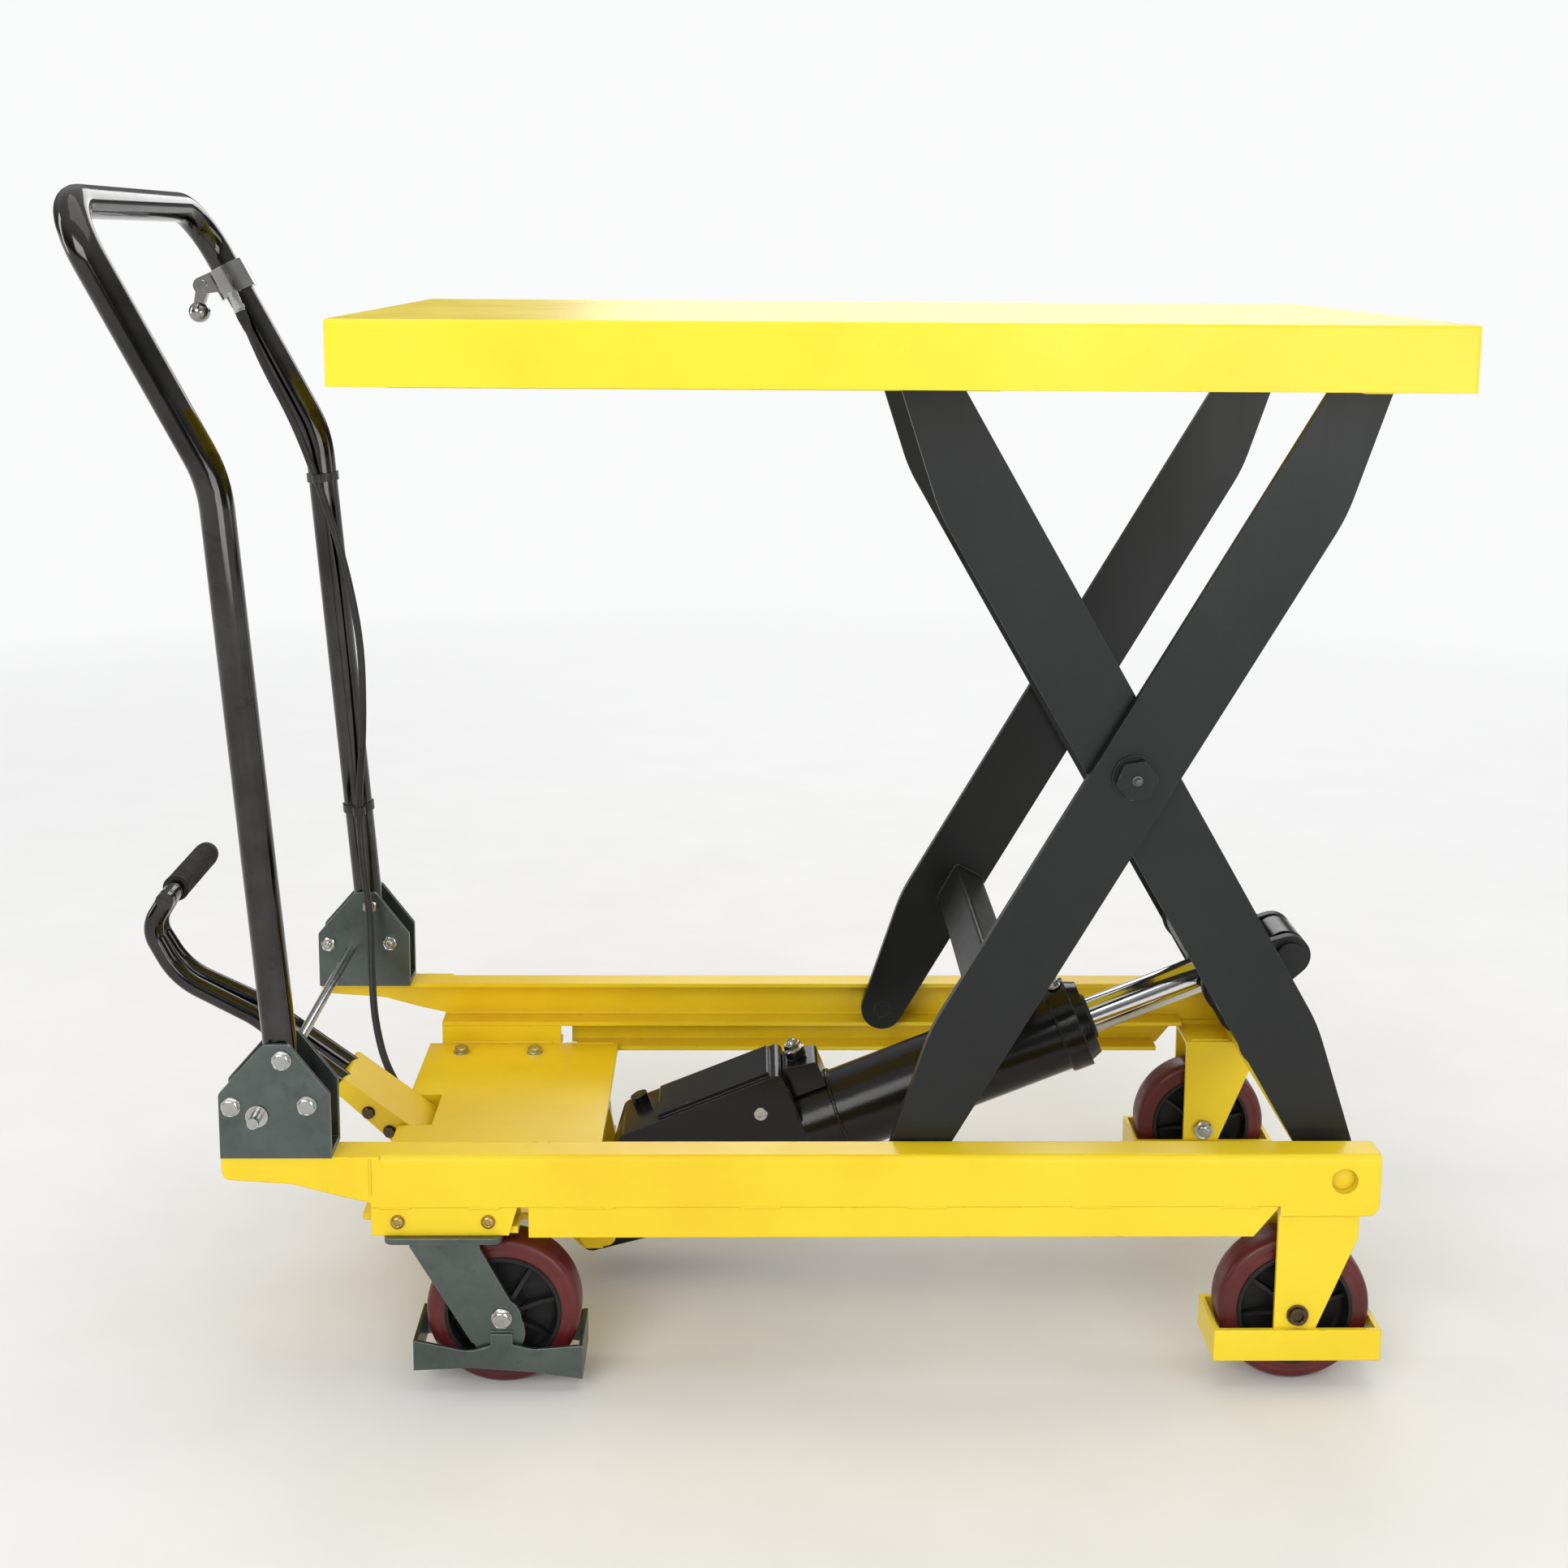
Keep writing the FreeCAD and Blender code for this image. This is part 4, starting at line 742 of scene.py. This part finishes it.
# ribbed foot grip
lo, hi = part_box("pedal_grip")
c = Vector(((lo.x + hi.x) / 2, lo.y, (lo.z + hi.z) / 2))
L = (hi.y - lo.y) / mm
prof = [(8.7, 0.0), (11.6, 0.0), (12.0, 0.6), (12.0, 3.4), (11.5, 4.0)]
y = 5.0
while y < L - 13:
    prof += [(10.9, y), (10.9, y + 1.0), (11.75, y + 1.5), (11.75, y + 3.1)]
    y += 3.8
prof += [(11.6, L - 10), (11.2, L - 6), (9.9, L - 2.8), (7.4, L - 0.9), (4.0, L - 0.15), (0.8, L)]
g = Geo()
lathe(g, [(r * mm, h * mm) for r, h in prof], c, (0, 1, 0), 56)
g.make("foot_grip", "grip_rubber", BODY["pedal_grip"], slot="grip_rubber", repl=("pedal_grip",), angle=50)

# hydraulic unit: plugs, clamp bolt, weld rings
CA = math.radians(22.055)
hydc, hyds = math.cos(CA), math.sin(CA)


def hyd(s, n, y=0.0):
    return P(-250 + s * hydc - n * hyds, y, 61 + s * hyds + n * hydc)


AX_S, AX_N = Vector((hydc, 0, hyds)), Vector((-hyds, 0, hydc))
g = Geo()
nut(g, hyd(221, 71.0), AX_N, 14 * mm, 5.0 * mm, 3.8 * mm, 2.6 * mm, 9.5 * mm, 0.3)
hexhead(g, hyd(436, 37.6, -9), AX_N, 9 * mm, 4.5 * mm, 0.2, 6.0 * mm, 1.0 * mm)
hexhead(g, hyd(461, 40.6, -6), AX_N, 10 * mm, 5.0 * mm, 0.6, 6.6 * mm, 1.0 * mm)
for s, n in ((92, 20), (176, -6), (176, 40)):
    for w in (-1, 1):
        lathe(g, [(6.2 * mm, -0.4 * mm), (6.2 * mm, 1.4 * mm), (5.5 * mm, 2.1 * mm), (3.2 * mm, 2.1 * mm),
                  (3.0 * mm, 0.5 * mm), (0.5 * mm, 0.4 * mm)], hyd(s, n, w * 36), (0, w, 0), 30)
g.make("hydraulic_screws", "bright_steel", BODY["pump_body"], slot="bright_steel")
g = Geo()
ringbead(g, hyd(452, 0), AX_S, 38.4 * mm, 2.2 * mm)
ringbead(g, hyd(239, 0), AX_S, 38.3 * mm, 1.7 * mm)
for w in (-1, 1):
    bead(g, hyd(90, 67.5, w * 30.2), hyd(194, 67.5, w * 30.2), 1.5 * mm)
    bead(g, hyd(206.4, 52, w * 33), hyd(206.4, 20, w * 36), 1.6 * mm)
g.make("hydraulic_welds", "gloss_black", BODY["cylinder_tube"], slot="gloss_black")
g = Geo()                                               # wiper ring in the gland
lathe(g, [(16.3 * mm, 479.6 * mm), (20.5 * mm, 479.6 * mm), (20.2 * mm, 482.0 * mm), (17.4 * mm, 483.2 * mm),
          (16.3 * mm, 482.4 * mm)], P(-250, 0, 61), AX_S, 48, wrap=True)
g.make("rod_wiper", "grip_rubber", BODY["cylinder_gland"], slot="grip_rubber")

# welds on the arms
g = Geo()
for s in (-1, 1):
    ringbead(g, inner(115, 2, s * 154.6), (0, 1, 0), 25.4 * mm, 2.4 * mm)
    ringbead(g, inner(540, -14, s * 154.6), (0, 1, 0), 17.4 * mm, 2.0 * mm)
    ringbead(g, inner(115, 2, s * 34.6), (0, 1, 0), 25.4 * mm, 2.0 * mm)
g.make("inner_arm_welds", "arm_black", "inner_arms", slot="arm_black")
g = Geo()
for s in (-1, 1):
    y = s * 164.6
    cs = [outer(126, -22, y), outer(166, -22, y), outer(166, 8, y), outer(126, 8, y)]
    for i in range(4):
        bead(g, cs[i], cs[(i + 1) % 4], 2.2 * mm)
g.make("outer_arm_welds", "arm_black", "outer_arms", slot="arm_black")

# welds on the chassis, painted over
g = Geo()
for s in (-1, 1):
    bead(g, P(-418, s * 203.9, 171), P(-418, s * 203.9, 202), 1.3 * mm)
    for x in (-255, -120, 15, 150, 270):
        bead(g, P(x, s * 203.4, 160), P(x + 34, s * 203.4, 160), 1.2 * mm)
    for x in (-412, -340):
        bead(g, P(x, s * 203.4, 160), P(x + 26, s * 203.4, 160), 1.2 * mm)
    bead(g, P(323, s * 200.6, 151.7), P(385, s * 200.6, 151.7), 1.7 * mm)
    bead(g, P(325, s * 153.8, 154.2), P(366, s * 153.8, 154.2), 1.8 * mm)
    bead(g, P(323, s * 196.2, 51.6), P(352, s * 199.8, 51.6), 1.6 * mm)
    bead(g, P(-410, s * 176, 142.6), P(-308, s * 176, 142.6), 1.7 * mm)
    bead(g, P(-296, s * 176.4, 141), P(-246, s * 176.4, 141), 1.7 * mm)
    bead(g, P(368, s * 195.6, 159.6), P(398, s * 195.6, 159.6), 1.8 * mm)
    bead(g, P(-300, s * 44, 136.0), P(-247, s * 44, 136.0), 1.8 * mm)
g.make("chassis_welds", "yellow_weld", "chassis", slot="yellow_paint")

# table frame welds under the top
g = Geo()
for s in (-1, 1):
    for x in (-392, -352, -170, -130, 40, 80):
        bead(g, P(x, s * 122, 863.0), P(x, s * 150, 863.0), 1.8 * mm)
    for x0 in (-392, -170, 40):
        for x in (x0, x0 + 40):
            bead(g, P(x, s * 244.8, 866), P(x, s * 228, 873.2), 1.6 * mm)
    bead(g, P(330, s * 184.6, 868.6), P(414, s * 184.6, 868.6), 1.8 * mm)
g.make("table_welds", "yellow_weld", "table", slot="yellow_paint")

# two screws that hold the bars in the foot lever
lv_lo, lv_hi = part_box("pedal_lever")
g = Geo()
for f in (0.22, 0.52):
    x, z = -470 + f * 62, 167 - f * 60
    hexhead(g, P(x, lv_lo.y / mm - 0.0, z), (0, -1, 0), 9 * mm, 3.2 * mm, f, 6 * mm, 0.9 * mm)
g.make("lever_screws", "bolt_dark", BODY["pedal_lever"], slot="bright_steel")

# cable boot and crimp
tx = lambda z: -527 - 111 * (z - 750) / 212
c0 = P(tx(866) - 4, 168, 866)
c1 = P(tx(815) - 10, 167, 815)
d = (c1 - c0).normalized()
g = Geo()
lathe(g, [(3.6 * mm, -0.5 * mm), (5.2 * mm, -0.5 * mm), (5.4 * mm, 1.0 * mm), (5.2 * mm, 8.0 * mm), (4.7 * mm, 8.6 * mm),
          (5.0 * mm, 9.4 * mm), (4.6 * mm, 12.0 * mm), (4.2 * mm, 12.6 * mm), (4.5 * mm, 13.4 * mm), (4.1 * mm, 17.0 * mm),
          (3.8 * mm, 19.0 * mm), (3.6 * mm, 19.0 * mm)], c0, d, 28, wrap=True)
g.make("cable_boot", "grip_rubber", BODY["release_cable"], slot="cable_black")
g = Geo()
pr = []
for i in range(9):                                       # profile of a threaded adjuster, never turned into a mesh; only the lock nut below is made
    pr += [(4.3 * mm, (-18 + i * 1.1) * mm), (4.9 * mm, (-17.45 + i * 1.1) * mm)]
hexhead(g, c0 - d * 6.0 * mm, d, 11 * mm, 4.0 * mm, 0.2)
g.make("cable_lock_nut", "bright_steel", BODY["cable_fittings"], slot="bright_steel")

# cotter washers on the lock rod
g = Geo()
for s in (-1, 1):
    q = P(-506.5, s * 206.2, 240)
    lathe(g, [(4.7 * mm, 0), (9.0 * mm, 0), (9.2 * mm, 0.5 * mm), (9.0 * mm, 1.3 * mm), (4.7 * mm, 1.3 * mm)], q, (0, s, 0),
          36, wrap=True)
g.make("lock_rod_washers", "bright_steel", BODY["handle_lock_rod"], slot="bright_steel")

# grease nipples at the middle pivots
g = Geo()
for s in (-1, 1):
    q = P(196.05, s * 182.8, 511.6)
    lathe(g, [(4.4 * mm, 0), (4.4 * mm, 1.2 * mm), (3.0 * mm, 1.6 * mm), (2.4 * mm, 3.0 * mm), (3.1 * mm, 4.4 * mm),
              (2.6 * mm, 5.6 * mm), (1.0 * mm, 5.9 * mm)], q, (0, s, 0), 24)
g.make("grease_nipples", "zinc", BODY["centre_pivot_bolts"], slot="bright_steel")
